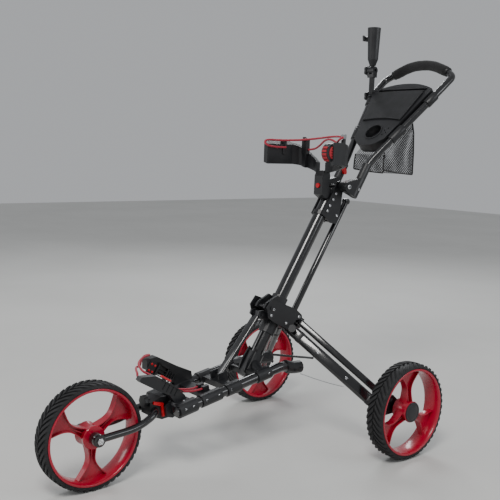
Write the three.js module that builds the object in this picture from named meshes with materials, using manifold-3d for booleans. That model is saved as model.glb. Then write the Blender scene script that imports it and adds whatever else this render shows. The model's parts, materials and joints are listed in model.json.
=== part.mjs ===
// Three-wheeled golf push trolley, in millimetres, +Z up.
// +X is the user's left, -Y is the way the trolley rolls, and the origin is on the ground
// under the middle of the trolley's outline.
import * as THREE from 'three';
import { mergeVertices } from 'three/addons/utils/BufferGeometryUtils.js';
import Module from 'manifold-3d';

const wasm = await Module();
wasm.setup();

// ---------------------------------------------------------------- driving dimensions

const gap = 0.3;                    // clearance where one piece seats on another
const runningGap = 1.2;             // clearance where one piece turns beside another

// Wheels. All three are the same.
const wheelRadius = 135;
const tyreHalfWidth = 28;
const tyreDepth = 12.5;             // from the tread to the rim's lip
const hubRadius = 21;
const hubHalfWidth = 23;
const hubCapRadius = 28;
const axleRadius = 6;
const track = 631;                  // between the two rear wheels' middles
const forkPivotY = -592;            // the fork's pin, ahead of the rear axle
const tyreClearance = 80.5;         // from the front tyre's tread to the fork's pin
const wheelbase = wheelRadius + tyreClearance - forkPivotY;

// Base frame: two side tubes on a slight slope, joined by castings.
const baseSlope = 10.5;             // degrees, rising to the rear
const baseY = -315;                 // where the mast's foot sits, ahead of the rear axle
const baseZ = 224.6;
const sideSpacing = 130;            // between the side tubes' axes
const sideTubeRadius = 14;
const sideTubeFront = -290;         // along the slope, from the mast's foot
const sideTubeStraightEnd = 62;
const sideTubeDrop = 21;            // how far the tubes' rear ends turn down
const sideTubeTail = 70;            // length of the bent tail

// Mast.
const mastLean = 32;                // degrees back from upright
const mastFootY = -327;
const mastFootZ = 217;
const mastTubeRadius = 19;
const lowerTubeRadius = 19;
const lowerTubeSetback = 10;        // the lower tube stands this far behind the upper one's line
const mastTop = 617;                // handle hinge, measured up the mast from its foot
const bracketBottom = 160;
const bracketTop = 229;
const bracketHalfWidth = 38;
const bracketPlate = 4;

// Handle.
const armLean = 43;                 // degrees back from upright, of the plane of the arms
const handleTubeRadius = 10.5;
const armFootX = 47.5;              // half the distance between the arms at the hinge
const armSpread = 85.5;             // how much wider each arm is at the console's top
const armLength = 310;
const elbowSetback = 42;            // the arm socket's distance behind the hinge
const elbowLength = 112;
const gripRadius = 16.5;
const gripHalfLength = 112;
const crownRise = 121;              // the grip's middle, beyond the end of the straight arms

// Rear legs: each is a leg and a parallel rod.
const legWide = 33;
const legThick = 19;
const rodWide = 20;
const rodThick = 12;
const linkPitch = 36;               // leg to rod, across the leg
const linkOffset = -18;             // leg to rod, sideways, so that they pass when they fold
const legHeadX = 27;                // the leg pivot's distance from the trolley's middle
const legHeadBack = 71;             // and its place in the mast's own frame
const legHeadUp = 174;
const legFootInset = 58;            // leg foot to wheel middle, across the trolley
const legFootAhead = 38;
const legFootDrop = 7;

const cordDiameter = 6;

// Front fork.
const forkTubeRadius = 9.5;
const forkHalfWidth = 41.5;
const forkPivotZ = 163;
const forkBackY = -634;
const forkBackZ = 172;

// ---------------------------------------------------------------- small helpers

const radians = THREE.MathUtils.degToRad;
const v3 = (x, y, z) => new THREE.Vector3(x, y, z);

function toSolid(geometry) {
  const bare = geometry.clone();
  bare.deleteAttribute('normal');
  bare.deleteAttribute('uv');
  const merged = mergeVertices(bare, 1e-4);
  return new wasm.Manifold(new wasm.Mesh({
    numProp: 3,
    vertProperties: new Float32Array(merged.attributes.position.array),
    triVerts: new Uint32Array(merged.index.array),
  }));
}

function toGeometry(manifold) {
  const mesh = manifold.getMesh();
  const geometry = new THREE.BufferGeometry();
  geometry.setAttribute('position', new THREE.BufferAttribute(new Float32Array(mesh.vertProperties), 3));
  geometry.setIndex(new THREE.BufferAttribute(new Uint32Array(mesh.triVerts), 1));
  geometry.computeVertexNormals();
  return geometry;
}

function join(...pieces) {
  return toGeometry(pieces.map(toSolid).reduce((whole, piece) => whole.add(piece)));
}

function cut(body, ...tools) {
  return toGeometry(tools.map(toSolid).reduce((rest, tool) => rest.subtract(tool), toSolid(body)));
}

function box(width, depth, height, centre) {
  return new THREE.BoxGeometry(width, depth, height).translate(centre.x, centre.y, centre.z);
}

// A round bar from one point to another, or a cone if the second radius is given.
function rod(from, to, radius, sides = 12, endRadius = radius) {
  const along = to.clone().sub(from);
  const geometry = new THREE.CylinderGeometry(endRadius, radius, along.length(), sides);
  geometry.applyQuaternion(new THREE.Quaternion().setFromUnitVectors(v3(0, 1, 0), along.clone().normalize()));
  const middle = from.clone().add(to).multiplyScalar(0.5);
  return geometry.translate(middle.x, middle.y, middle.z);
}

const rodX = (x0, x1, y, z, radius, sides) => rod(v3(x0, y, z), v3(x1, y, z), radius, sides);
const rodY = (y0, y1, x, z, radius, sides) => rod(v3(x, y0, z), v3(x, y1, z), radius, sides);
const rodZ = (z0, z1, x, y, radius, sides, end) => rod(v3(x, y, z0), v3(x, y, z1), radius, sides, end);

// A bar of oval section along Z: `wide` across Y and `thick` across X.
function ovalBar(wide, thick, z0, z1, x = 0, y = 0, sides = 16) {
  const shape = new THREE.Shape();
  const flat = (wide - thick) / 2;
  shape.absarc(0, flat, thick / 2, 0, Math.PI);
  shape.absarc(0, -flat, thick / 2, Math.PI, 2 * Math.PI);
  const options = { depth: z1 - z0, bevelEnabled: false, curveSegments: sides / 4 };
  const geometry = new THREE.ExtrudeGeometry(shape, options);
  return geometry.translate(x, y, z0);
}

// A flat piece drawn in the Y-Z plane as [y, z] points and given a thickness across X.
function plateYZ(outline, x0, x1, holes = []) {
  const shape = new THREE.Shape(outline.map(([y, z]) => new THREE.Vector2(y, z)));
  for (const hole of holes) {
    shape.holes.push(new THREE.Path(hole.map(([y, z]) => new THREE.Vector2(y, z))));
  }
  const geometry = new THREE.ExtrudeGeometry(shape, { depth: x1 - x0, bevelEnabled: false });
  geometry.rotateX(Math.PI / 2);
  geometry.rotateZ(Math.PI / 2);
  return geometry.translate(x0, 0, 0);
}

// A ring or disc about the X axis, from a closed profile of [x, radius] points.
function turnedX(profile, segments) {
  const points = profile.map(([x, radius]) => new THREE.Vector2(radius, x));
  return new THREE.LatheGeometry(points, segments).rotateZ(-Math.PI / 2);
}

// A path of straight runs with round bends, for tubes.
class BentPath extends THREE.Curve {
  constructor(corners, bendRadius, bendSteps = 5) {
    super();
    this.points = [corners[0]];
    for (let i = 1; i < corners.length - 1; i++) {
      const into = corners[i - 1].clone().sub(corners[i]);
      const out = corners[i + 1].clone().sub(corners[i]);
      const reach = Math.min(bendRadius, into.length() * 0.45, out.length() * 0.45);
      const first = corners[i].clone().add(into.setLength(reach));
      const last = corners[i].clone().add(out.setLength(reach));
      const bend = new THREE.QuadraticBezierCurve3(first, corners[i], last);
      this.points.push(...bend.getPoints(bendSteps));
    }
    this.points.push(corners[corners.length - 1]);
  }

  getPoint(t, target = new THREE.Vector3()) {
    const place = t * (this.points.length - 1);
    const i = Math.min(Math.floor(place), this.points.length - 2);
    return target.lerpVectors(this.points[i], this.points[i + 1], place - i);
  }

  getPointAt(u, target) {
    return this.getPoint(u, target);
  }

  getTangentAt(u, target = new THREE.Vector3()) {
    const i = Math.round(u * (this.points.length - 1));
    const before = this.points[Math.max(i - 1, 0)];
    const after = this.points[Math.min(i + 1, this.points.length - 1)];
    return target.copy(after).sub(before).normalize();
  }
}

function sweep(path, radius, sides = 12, steps = path.points.length - 1) {
  const shape = new THREE.Shape();
  shape.absarc(0, 0, radius, 0, 2 * Math.PI);
  const options = { steps, extrudePath: path, curveSegments: sides / 2, bevelEnabled: false };
  return new THREE.ExtrudeGeometry(shape, options);
}

// A cord: a thin tube along a smooth curve through chosen points.
function cord(points, diameter, steps) {
  const shape = new THREE.Shape();
  shape.absarc(0, 0, diameter / 2, 0, 2 * Math.PI);
  const path = new THREE.CatmullRomCurve3(points.map(([x, y, z]) => v3(x, y, z)));
  const options = { steps, extrudePath: path, curveSegments: 4, bevelEnabled: false };
  return new THREE.ExtrudeGeometry(shape, options);
}

// ---------------------------------------------------------------- finishes

const finish = (color, roughness, metalness) => ({ color, roughness, metalness });
const blackPaint = finish(0x0b0b0c, 0.22, 0.35);
const blackPlastic = finish(0x17181a, 0.55, 0.0);
const redPlastic = finish(0xb3061c, 0.3, 0.0);
const tyreRubber = finish(0x141516, 0.85, 0.0);
const gripFoam = finish(0x121213, 0.95, 0.0);
const redCord = finish(0x9d0a20, 0.6, 0.0);
const steel = finish(0xb9bcc0, 0.3, 1.0);
const netMesh = finish(0x101011, 0.9, 0.0);

function part(parent, name, geometry, look) {
  const mesh = new THREE.Mesh(geometry, new THREE.MeshStandardMaterial(look));
  mesh.name = name;
  parent.add(mesh);
  return mesh;
}

function frameAt(parent, x, y, z, tiltX = 0) {
  const group = new THREE.Group();
  group.position.set(x, y, z);
  group.rotation.x = radians(tiltX);
  parent.add(group);
  return group;
}

// Where a point of a group lies in the trolley's frame.
function placeIn(group, point) {
  group.updateWorldMatrix(true, false);
  return point.clone().applyMatrix4(group.matrixWorld);
}

// A shape drawn in one frame, moved into another.
function moved(geometry, source, target) {
  source.updateWorldMatrix(true, false);
  target.updateWorldMatrix(true, false);
  geometry.applyMatrix4(source.matrixWorld);
  return geometry.applyMatrix4(target.matrixWorld.clone().invert());
}

// The lower and upper of two X places on one side of the trolley.
function spanX(side, near, far) {
  return [Math.min(side * near, side * far), Math.max(side * near, side * far)];
}

const sides = { left: 1, right: -1 };

// ---------------------------------------------------------------- frames

const trolley = new THREE.Group();
const baseFrame = frameAt(trolley, 0, baseY, baseZ, baseSlope);
const mastFrame = frameAt(trolley, 0, mastFootY, mastFootZ, -mastLean);
const hingeFrame = frameAt(mastFrame, 0, 0, mastTop);
const armFootAlong = elbowLength - 6;
const armFrame = frameAt(hingeFrame, 0, elbowSetback, armFootAlong, mastLean - armLean);

// ---------------------------------------------------------------- wheels

const lipRadius = wheelRadius - tyreDepth;
const barrelRadius = lipRadius - 11;
const beadRadius = lipRadius - 7;
const shoulder = 7;
const wheelSides = 28;

function tyreGeometry() {
  const w = tyreHalfWidth;
  const inner = lipRadius + gap;
  const bead = beadRadius + gap;
  return turnedX([
    [-w, inner], [-w, wheelRadius - shoulder], [-w + shoulder, wheelRadius],
    [w - shoulder, wheelRadius], [w, wheelRadius - shoulder], [w, inner],
    [w - 12, inner], [w - 15, bead], [15 - w, bead], [12 - w, inner], [-w, inner],
  ], wheelSides);
}

function spokeGeometry(turn) {
  const tip = barrelRadius + 1.5;
  const tipHalf = 31;
  const corner = Math.sqrt(tip ** 2 - tipHalf ** 2);
  const blade = new THREE.Shape([
    [hubRadius - 6, -9], [58, -8], [corner, -tipHalf], [tip, 0],
    [corner, tipHalf], [58, 8], [hubRadius - 6, 9],
  ].map(([a, b]) => new THREE.Vector2(a, b)));
  const web = [[70, 0], [corner, 17], [corner, -17]].map(([a, b]) => new THREE.Vector2(a, b));
  blade.holes.push(new THREE.Path(web));
  const geometry = new THREE.ExtrudeGeometry(blade, { depth: 9, bevelEnabled: false });
  geometry.translate(0, 0, -4.5);
  geometry.rotateY(Math.PI / 2);
  return geometry.rotateX(radians(turn));
}

function rimGeometry(turn) {
  const w = tyreHalfWidth;
  const barrel = turnedX([
    [-w + 1, lipRadius - 0.5], [-w + 11, lipRadius - 0.5], [-w + 14, beadRadius - 0.5],
    [w - 14, beadRadius - 0.5], [w - 11, lipRadius - 0.5], [w - 1, lipRadius - 0.5],
    [w - 1, lipRadius - 4], [w - 13, barrelRadius], [13 - w, barrelRadius], [1 - w, lipRadius - 4],
    [-w + 1, lipRadius - 0.5],
  ], wheelSides);
  const hub = rodX(-hubHalfWidth, hubHalfWidth, 0, 0, hubRadius, 16);
  const spokes = [0, 120, 240].map((step) => spokeGeometry(turn + step));
  const bore = rodX(-hubHalfWidth - 1, hubHalfWidth + 1, 0, 0, axleRadius + gap, 12);
  return cut(join(barrel, hub, ...spokes), bore);
}

function hubCapGeometry(side) {
  const inside = side * (hubHalfWidth + gap);
  const disc = rodX(...spanX(side, hubHalfWidth + gap, hubHalfWidth + 4), 0, 0, hubCapRadius, 16);
  const dome = rod(v3(inside + side * 3, 0, 0), v3(side * (tyreHalfWidth - 1), 0, 0), 17, 16, 13);
  return [disc, dome];
}

function addWheel(name, x, y, spokeTurn) {
  const wheel = frameAt(trolley, x, y, wheelRadius);
  part(wheel, `${name}_tyre`, tyreGeometry(), tyreRubber);
  part(wheel, `${name}_rim`, rimGeometry(spokeTurn), redPlastic);
  return wheel;
}

addWheel('front', 0, -wheelbase, 32);
for (const [name, side] of Object.entries(sides)) {
  const wheel = addWheel(`rear_${name}`, side * track / 2, 0, side > 0 ? 90 : 30);
  const axleRoom = rodX(side * hubHalfWidth, side * (hubHalfWidth + 6), 0, 0, axleRadius + gap, 16);
  part(wheel, `rear_${name}_hub_cap`, cut(join(...hubCapGeometry(side)), axleRoom), blackPlastic);
}

// ---------------------------------------------------------------- front fork

const fork = frameAt(trolley, 0, forkPivotY, forkPivotZ);
const forkHub = v3(0, -wheelbase - forkPivotY, wheelRadius - forkPivotZ);
const forkBack = v3(0, forkBackY - forkPivotY, forkBackZ - forkPivotZ);
const lugInner = hubHalfWidth + runningGap;
const lugOuter = forkHalfWidth + forkTubeRadius + 1;

function forkPath() {
  const armEnd = (side) => v3(side * forkHalfWidth, forkHub.y, forkHub.z);
  const knee = (side) => v3(side * forkHalfWidth, forkHub.y + 112, forkHub.z + 8);
  const backCorner = (side) => v3(side * forkHalfWidth * 0.92, forkBack.y, forkBack.z);
  return new BentPath([armEnd(1), knee(1), backCorner(1), backCorner(-1), knee(-1), armEnd(-1)], 38, 3);
}

function forkTubeGeometry() {
  const tube = sweep(forkPath(), forkTubeRadius, 12);
  const lugs = [1, -1].map((side) => rodX(side * lugInner, side * lugOuter, forkHub.y, forkHub.z, 16, 16));
  const bore = rodX(-lugOuter - 1, lugOuter + 1, forkHub.y, forkHub.z, axleRadius + gap, 16);
  return cut(join(tube, ...lugs), bore);
}

function forkHeadGeometry() {
  const body = plateYZ([
    [forkBack.y - 14, forkBack.z - 14], [forkBack.y - 14, forkBack.z + 20], [-24, 40], [-8, 40],
    [4, 14], [14, 6], [14, -10], [2, -18], [-20, -20],
  ], -21, 21);
  const seat = sweep(forkPath(), forkTubeRadius + gap, 12);
  const pinBore = rodX(-30, 30, 0, 0, 5 + gap, 12);
  const knobBore = rodY(-70, -10, 0, 30, 4 + gap, 10);
  return cut(body, seat, pinBore, knobBore);
}

part(fork, 'fork_tube', forkTubeGeometry(), blackPaint);
part(fork, 'fork_head', forkHeadGeometry(), blackPlastic);
part(fork, 'front_axle', join(
  rodX(-lugOuter - 3, lugOuter + 3, forkHub.y, forkHub.z, axleRadius - gap, 12),
  rodX(lugOuter + gap, lugOuter + 6, forkHub.y, forkHub.z, 8.5, 6),
  rodX(-lugOuter - 6, -lugOuter - gap, forkHub.y, forkHub.z, 8.5, 6),
), steel);

const knobFront = forkBack.y - 14 - gap;
part(fork, 'alignment_knob', join(
  rodY(knobFront - 12, knobFront, 0, 30, 16, 18),
  rodY(knobFront - 1, -24, 0, 30, 4, 10),
), blackPlastic);

const latchX = 21 + gap;
part(fork, 'front_latch_lever', join(
  rodX(latchX, latchX + 6, -24, 22, 5, 12),
  plateYZ([[-50, 26], [-27, 18], [-21, 22], [-24, 27], [-48, 33]], latchX + 1, latchX + 6),
  plateYZ([[-27, 19], [-21, 21], [-15, -10], [-21, -12]], latchX + 1, latchX + 6),
), redPlastic);

// ---------------------------------------------------------------- base frame

const half = sideSpacing / 2;

function sideTubePath(x) {
  return new BentPath([
    v3(x, sideTubeFront, 0), v3(x, sideTubeStraightEnd + 14, 0),
    v3(x, sideTubeStraightEnd + sideTubeTail * 0.65, -sideTubeDrop * 0.75),
    v3(x, sideTubeStraightEnd + sideTubeTail, -sideTubeDrop),
  ], 22, 3);
}

const collarRadius = sideTubeRadius + 3.5;
const collars = (from, to, radius = collarRadius) => (
  [half, -half].map((x) => rodY(from, to, x, 0, radius, 16)));
const tubeSeats = () => collars(sideTubeFront - 2, sideTubeStraightEnd, sideTubeRadius + gap);
const screwHeads = (places, x, height) => places.map((y) => rodX(x, x + Math.sign(x) * 2, y, height, 3.4, 6));

for (const [name, side] of Object.entries(sides)) {
  part(baseFrame, `side_tube_${name}`, sweep(sideTubePath(side * half), sideTubeRadius, 12), blackPaint);
  const tail = sideTubePath(side * half);
  const endOuter = sweep(new BentPath([
    v3(side * half, sideTubeStraightEnd + 22, -3),
    v3(side * half, sideTubeStraightEnd + sideTubeTail * 0.65, -sideTubeDrop * 0.75),
    v3(side * half, sideTubeStraightEnd + sideTubeTail + 7, -sideTubeDrop - 1.6),
  ], 12, 2), collarRadius + 0.5, 12);
  const start = sideTubeStraightEnd + 24;
  const ahead = box(60, 60, 60, v3(side * half, start - 30, 0));
  const trimmed = cut(endOuter, sweep(tail, sideTubeRadius + gap, 12), ahead);
  const headReach = spanX(side, half + collarRadius - 1, half + collarRadius + 2);
  const heads = [start + 22, start + 42].map((y) => rodX(...headReach, y, -19, 3.4, 6));
  part(baseFrame, `end_cap_${name}`, join(trimmed, ...heads), blackPlastic);
}

const castingTop = 18;

// Front casting: two lobes on the tubes, a bridge, and two ears round the fork's head.
const headHalf = 21;
const levelled = (point) => point.applyAxisAngle(v3(1, 0, 0), -radians(baseSlope));
const pivotLocal = levelled(v3(0, forkPivotY - baseY, forkPivotZ - baseZ));

function frontCastingGeometry() {
  const bridge = plateYZ([
    [-286, -15], [-286, 12], [-281, castingTop], [-238, castingTop],
    [-226, 6], [-226, -12], [-240, -19], [-268, -20],
  ], -half, half);
  const ears = [1, -1].map((side) => plateYZ([
    [-300, -18], [-300, 10], [-284, 18], [-250, 18], [-250, -20], [-284, -26],
  ], ...spanX(side, headHalf + 8, headHalf + 16)));
  const headRoom = box(2 * (headHalf + 7.2), 62, 90, v3(0, -293, 0));
  const pivotPin = rodX(-headHalf - 12, headHalf + 12, pivotLocal.y, pivotLocal.z, 5, 12);
  const body = join(...collars(-284, -229, collarRadius + 2), bridge, ...ears);
  const heads = [1, -1].flatMap((side) => screwHeads([-268, -244], side * (half + collarRadius + 1.2), 3));
  return join(cut(body, ...tubeSeats(), headRoom), pivotPin, ...heads);
}

part(baseFrame, 'front_casting', frontCastingGeometry(), blackPlastic);

const cordBridgeY = -176;

// Bridge that carries the rear ends of the lower cords.
function cordBridgeGeometry() {
  const deck = box(sideSpacing, 34, 12, v3(0, -180, 6));
  const horns = [20, 42].map((x) => box(12, 18, 16, v3(x, cordBridgeY, 18)));
  const body = join(...collars(-212, -148), deck, ...horns);
  const heads = [1, -1].flatMap((side) => screwHeads([-200, -160], side * (half + collarRadius - 0.8), 3));
  return join(cut(body, ...tubeSeats()), ...heads);
}

part(baseFrame, 'cord_bridge', cordBridgeGeometry(), blackPlastic);

// Bracket under the front strut, with the clevis that holds the strut's foot.
const strutHead = v3(0, -50, 163);                       // in the mast's frame
const strutFoot = v3(0, -92, 22);                        // in the base's frame
const strutWide = 27;
const strutThick = 11;

function strutBracketGeometry() {
  const bar = box(sideSpacing, 26, 17, v3(0, -106, 0));
  const clevis = [1, -1].map((side) => box(5, 30, 30, v3(side * (strutWide / 2 + 3.5), -98, 15)));
  const body = join(...collars(-128, -83), bar, ...clevis);
  const pin = rodX(-18, 18, strutFoot.y, strutFoot.z, 4.5, 12);
  const heads = [1, -1].flatMap((side) => screwHeads([-118], side * (half + collarRadius - 0.8), 4));
  return join(cut(body, ...tubeSeats()), pin, ...heads);
}

part(baseFrame, 'strut_bracket', strutBracketGeometry(), blackPlastic);

// Yoke: the casting that carries the mast's lower tube on both side tubes.
const inBase = (point) => levelled(placeIn(mastFrame, point).sub(v3(0, baseY, baseZ)));
const lowerTubeFoot = 14;
const lowerTubeTop = bracketBottom - 4;

function yokeGeometry() {
  const foot = inBase(v3(0, lowerTubeSetback, -8));
  const top = inBase(v3(0, lowerTubeSetback, 66));
  const socket = rod(foot, top, lowerTubeRadius + 4.5, 16);
  const webs = [1, -1].map((side) => plateYZ([
    [-20, -9], [-20, 9], [-6, 30], [28, 60], [38, 44], [26, 10], [26, -9],
  ], Math.min(side * 10, side * 15), Math.max(side * 10, side * 15)));
  const bar = box(sideSpacing, 40, 18, v3(0, 2, 0));
  const shoulders = [1, -1].map((side) => (
    rod(inBase(v3(side * 12, lowerTubeSetback, 34)), v3(side * half, 2, 2), 17, 12, 12)));
  const seatFoot = inBase(v3(0, lowerTubeSetback, lowerTubeFoot - 1));
  const seatHead = inBase(v3(0, lowerTubeSetback, 90));
  const seat = rod(seatFoot, seatHead, lowerTubeRadius + gap, 20);
  const heads = [1, -1].flatMap((side) => screwHeads([14], side * (half + collarRadius - 0.8), 3));
  const body = join(socket, bar, ...webs, ...shoulders, ...collars(-22, 26));
  return join(cut(body, ...tubeSeats(), seat), ...heads);
}

part(baseFrame, 'mast_yoke', yokeGeometry(), blackPlastic);

// ---------------------------------------------------------------- lower mast and rear legs

const lowerTube = rodZ(lowerTubeFoot, lowerTubeTop, 0, lowerTubeSetback, lowerTubeRadius, 16);
part(mastFrame, 'lower_mast_tube', lowerTube, blackPaint);

const mastUp = v3(0, 0, 1).applyAxisAngle(v3(1, 0, 0), radians(-mastLean));

// The line of one leg and the frame that its pieces are drawn in: Z runs down the leg,
// Y across it towards the rod, and X is the fold's axis, which points outwards.
function legLayout(side) {
  const head = placeIn(mastFrame, v3(side * legHeadX, legHeadBack, legHeadUp));
  const foot = v3(side * (track / 2 - legFootInset), -legFootAhead, wheelRadius - legFootDrop);
  const down = foot.clone().sub(head);
  const length = down.length();
  down.normalize();
  const across = mastUp.clone().addScaledVector(down, -mastUp.dot(down)).normalize();
  const axis = across.clone().cross(down);
  const group = new THREE.Group();
  group.position.copy(head);
  group.setRotationFromMatrix(new THREE.Matrix4().makeBasis(axis, across, down));
  trolley.add(group);
  return { side, head, foot, length, axis, group, out: -side };
}

const legs = { left: legLayout(1), right: legLayout(-1) };
const pinRadius = 4.5;
const headReach = legWide / 2;

function linkGeometry(wide, thick, x, y, length) {
  const x0 = x - thick / 2;
  const body = join(
    ovalBar(wide, thick, 0, length, x, y, 16),
    rodX(x0, x0 + thick, y, 0, wide / 2, 16),
    rodX(x0, x0 + thick, y, length, wide / 2, 16),
  );
  const bores = [0, length].map((z) => rodX(x0 - 1, x0 + thick + 1, y, z, pinRadius + gap, 12));
  return cut(body, ...bores);
}

for (const [name, layout] of Object.entries(legs)) {
  const rodX0 = layout.out * linkOffset;
  part(layout.group, `leg_${name}`, linkGeometry(legWide, legThick, 0, 0, layout.length), blackPaint);
  const slimRod = linkGeometry(rodWide, rodThick, rodX0, linkPitch, layout.length);
  part(layout.group, `leg_rod_${name}`, slimRod, blackPaint);
}

// ---------------------------------------------------------------- central bracket

const foldPivot = v3(0, -44, 190);
const linkSetback = 71;
const linkRadius = 9;
const bracketInner = bracketHalfWidth - bracketPlate;

// Outline of the bracket's side plates, in the mast's frame.
const bracketOutline = [
  [-60, 182], [-36, 161], [-9, bracketBottom], [28, 165], [48, 165], [57, 176], [57, 192],
  [60, 203], [74, 213], [77, 219], [72, 225], [59, 227], [40, bracketTop], [-8, 221], [-56, 212],
];

// Boss and pin for a leg's head, outside the leg.
function legHeadBoss(layout) {
  const face = layout.out * (legThick / 2 + 0.8);
  const end = layout.out * 26;
  return [
    moved(rodX(...spanX(1, face, end), 0, 0, 11, 12), layout.group, mastFrame),
    moved(rodX(...spanX(1, -face, end), 0, 0, pinRadius, 12), layout.group, mastFrame),
  ];
}

// Pin for a rod's head, standing out of the block behind the link rod.
function rodHeadPin(layout) {
  const middle = layout.out * linkOffset;
  const ends = [middle + layout.out * 7.6, middle - layout.out * 17].sort((a, b) => a - b);
  return moved(rodX(...ends, linkPitch, 0, pinRadius - 0.5, 12), layout.group, mastFrame);
}

function centralBracketGeometry() {
  const plateAt = (side) => plateYZ(bracketOutline, ...spanX(side, bracketInner, bracketHalfWidth));
  const plates = [1, -1].map(plateAt);
  const core = box(2 * bracketInner + 1, 54, 30, v3(0, 13, bracketBottom + 17));
  const socket = rodZ(bracketBottom - 30, bracketBottom + 8, 0, lowerTubeSetback, lowerTubeRadius + 4.5, 16);
  const topPlate = box(2 * bracketInner + 1, 24, 6, v3(0, 61, 222));
  const topTongue = box(28, 52, 6, v3(0, 86, 222));
  const rearBlock = box(26, 13, 30, v3(0, 104, 209));
  const heads = [1, -1].flatMap((side) => [[64, 215], [29, 178], [-34, 172], [-36, 190]].map(
    ([y, z]) => rodX(side * (bracketHalfWidth - 0.5), side * (bracketHalfWidth + 2.2), y, z, 3.8, 6)));
  const bosses = Object.values(legs).flatMap((layout) => legHeadBoss(layout));
  const pins = Object.values(legs).map((layout) => rodHeadPin(layout));
  const seatRadius = lowerTubeRadius + gap;
  const socketSeat = rodZ(bracketBottom - 31, lowerTubeTop + 1, 0, lowerTubeSetback, seatRadius, 20);
  const linkRoom = rodZ(90, 300, 0, linkSetback, linkRadius + 1.5, 14);
  const foldPin = rodX(-bracketHalfWidth - 3, bracketHalfWidth + 3, foldPivot.y, foldPivot.z, 5, 12);
  const strutEars = [1, -1].map((side) => plateYZ([
    [-62, 155], [-64, 168], [-52, 176], [-12, 178], [-12, 162], [-44, 152],
  ], ...spanX(side, strutWide / 2 + 1, strutWide / 2 + 6)));
  const strutPin = rodX(-24, 24, strutHead.y, strutHead.z, pinRadius, 12);
  const shell = [...plates, core, ...strutEars, socket, topPlate, topTongue, rearBlock];
  const body = join(...shell, strutPin, ...heads, ...bosses, ...pins);
  return join(cut(body, socketSeat, linkRoom), foldPin);
}

part(mastFrame, 'central_bracket', centralBracketGeometry(), blackPlastic);

// Front strut, from the bracket's nose down to the base.
function strutGeometry() {
  const foot = baseFrame.localToWorld(strutFoot.clone());
  const top = mastFrame.localToWorld(strutHead.clone());
  const inMast = (point) => mastFrame.worldToLocal(point.clone());
  const a = inMast(foot);
  const b = inMast(top);
  const length = a.distanceTo(b);
  const bar = ovalBar(strutWide, strutThick, 0, length, 0, 0, 12).rotateZ(Math.PI / 2);
  const eyes = [0, length].map((z) => rodX(-strutWide / 2, strutWide / 2, 0, z, 8, 14));
  const bores = [0, length].map((z) => rodX(-20, 20, 0, z, pinRadius + gap, 12));
  const geometry = cut(join(bar, ...eyes), ...bores);
  const turned = new THREE.Quaternion().setFromUnitVectors(v3(0, 0, 1), b.clone().sub(a).normalize());
  return geometry.applyQuaternion(turned).translate(a.x, a.y, a.z);
}

part(mastFrame, 'front_strut', strutGeometry(), blackPaint);

// ---------------------------------------------------------------- upper mast

const upperTubeFoot = 196;
const elbowInner = armFootX - handleTubeRadius - 4;
const elbowOuter = armFootX + handleTubeRadius + 3;
const upperTubeTop = mastTop - 17;

part(mastFrame, 'upper_mast_tube', rodZ(upperTubeFoot, upperTubeTop, 0, 0, mastTubeRadius, 16), blackPaint);

// Collar on the foot of the upper tube, with the ears that it folds on.
function mastCollarGeometry() {
  const ring = rodZ(upperTubeFoot + 2, upperTubeFoot + 46, 0, 0, mastTubeRadius + 4.5, 16);
  const ears = [1, -1].map((side) => plateYZ([
    [-54, 182], [-54, 198], [-30, 234], [0, 234], [0, 204], [-34, 182],
  ], ...spanX(side, 14, 21)));
  const seat = rodZ(upperTubeFoot, upperTubeFoot + 60, 0, 0, mastTubeRadius + gap, 20);
  const bore = rodX(-40, 40, foldPivot.y, foldPivot.z, 5 + gap, 12);
  return cut(join(ring, ...ears), seat, bore);
}

part(mastFrame, 'mast_collar', mastCollarGeometry(), blackPlastic);

// Bracket at the top of the mast: two side plates on collars, holding the handle's hinge.
function upperBracketGeometry() {
  const plates = [1, -1].map((side) => plateYZ([
    [-14, 512], [-14, 600], [-15, mastTop + 6], [-6, mastTop + 15], [8, mastTop + 14], [17, mastTop + 2],
    [30, 588], [44, 560], [52, 534], [48, 516], [30, 508],
  ], ...spanX(side, mastTubeRadius + 0.6, mastTubeRadius + 5)));
  const ringRadius = mastTubeRadius + 3.5;
  const rings = [rodZ(512, 524, 0, 0, ringRadius, 16), rodZ(584, 598, 0, 0, ringRadius, 16)];
  const web = box(2 * mastTubeRadius + 4, 5, 44, v3(0, 36, 536));
  const seat = rodZ(500, upperTubeTop + 1, 0, 0, mastTubeRadius + gap, 20);
  const shaft = rodX(-elbowOuter - 3, elbowOuter + 3, 0, mastTop, 5, 12);
  const heads = [1, -1].flatMap((side) => [[-2, 590], [-3, 530], [38, 538], [-2, 570], [-3, 548]].map(
    ([y, z]) => rodX(side * (mastTubeRadius + 4.5), side * (mastTubeRadius + 6.6), y, z, 3.6, 6)));
  return join(cut(join(...plates, ...rings, web), seat), shaft, ...heads);
}

part(mastFrame, 'upper_bracket', upperBracketGeometry(), blackPlastic);

// Link rod behind the mast, which slides down as the handle folds.
const linkFoot = 206;
const linkTop = mastTop - 12;

part(mastFrame, 'link_rod', join(
  rodZ(linkFoot, linkTop, 0, linkSetback, linkRadius, 14),
  rodX(-linkRadius, linkRadius, linkSetback, linkTop, linkRadius, 14),
), blackPaint);

// ---------------------------------------------------------------- upper bag cradle

const cradleFrame = frameAt(mastFrame, 0, -35, 578, mastLean);

function cradleStemGeometry() {
  const post = plateYZ([
    [-16, -10], [-15, 44], [-8, 60], [12, 60], [16, 44], [14, 12], [30, 0], [30, -18], [2, -22],
  ], -17, 17);
  const seats = [
    rodZ(480, upperTubeTop + 20, 0, 0, mastTubeRadius + 2 * gap, 16),
    rodZ(583, 640, 0, 0, mastTubeRadius + 3.5 + 2 * gap, 16),
  ].map((seat) => moved(seat, mastFrame, cradleFrame));
  const pocket = rodY(-20, -8, 0, 16, 7.5, 14);
  return cut(post, ...seats, pocket);
}

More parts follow.
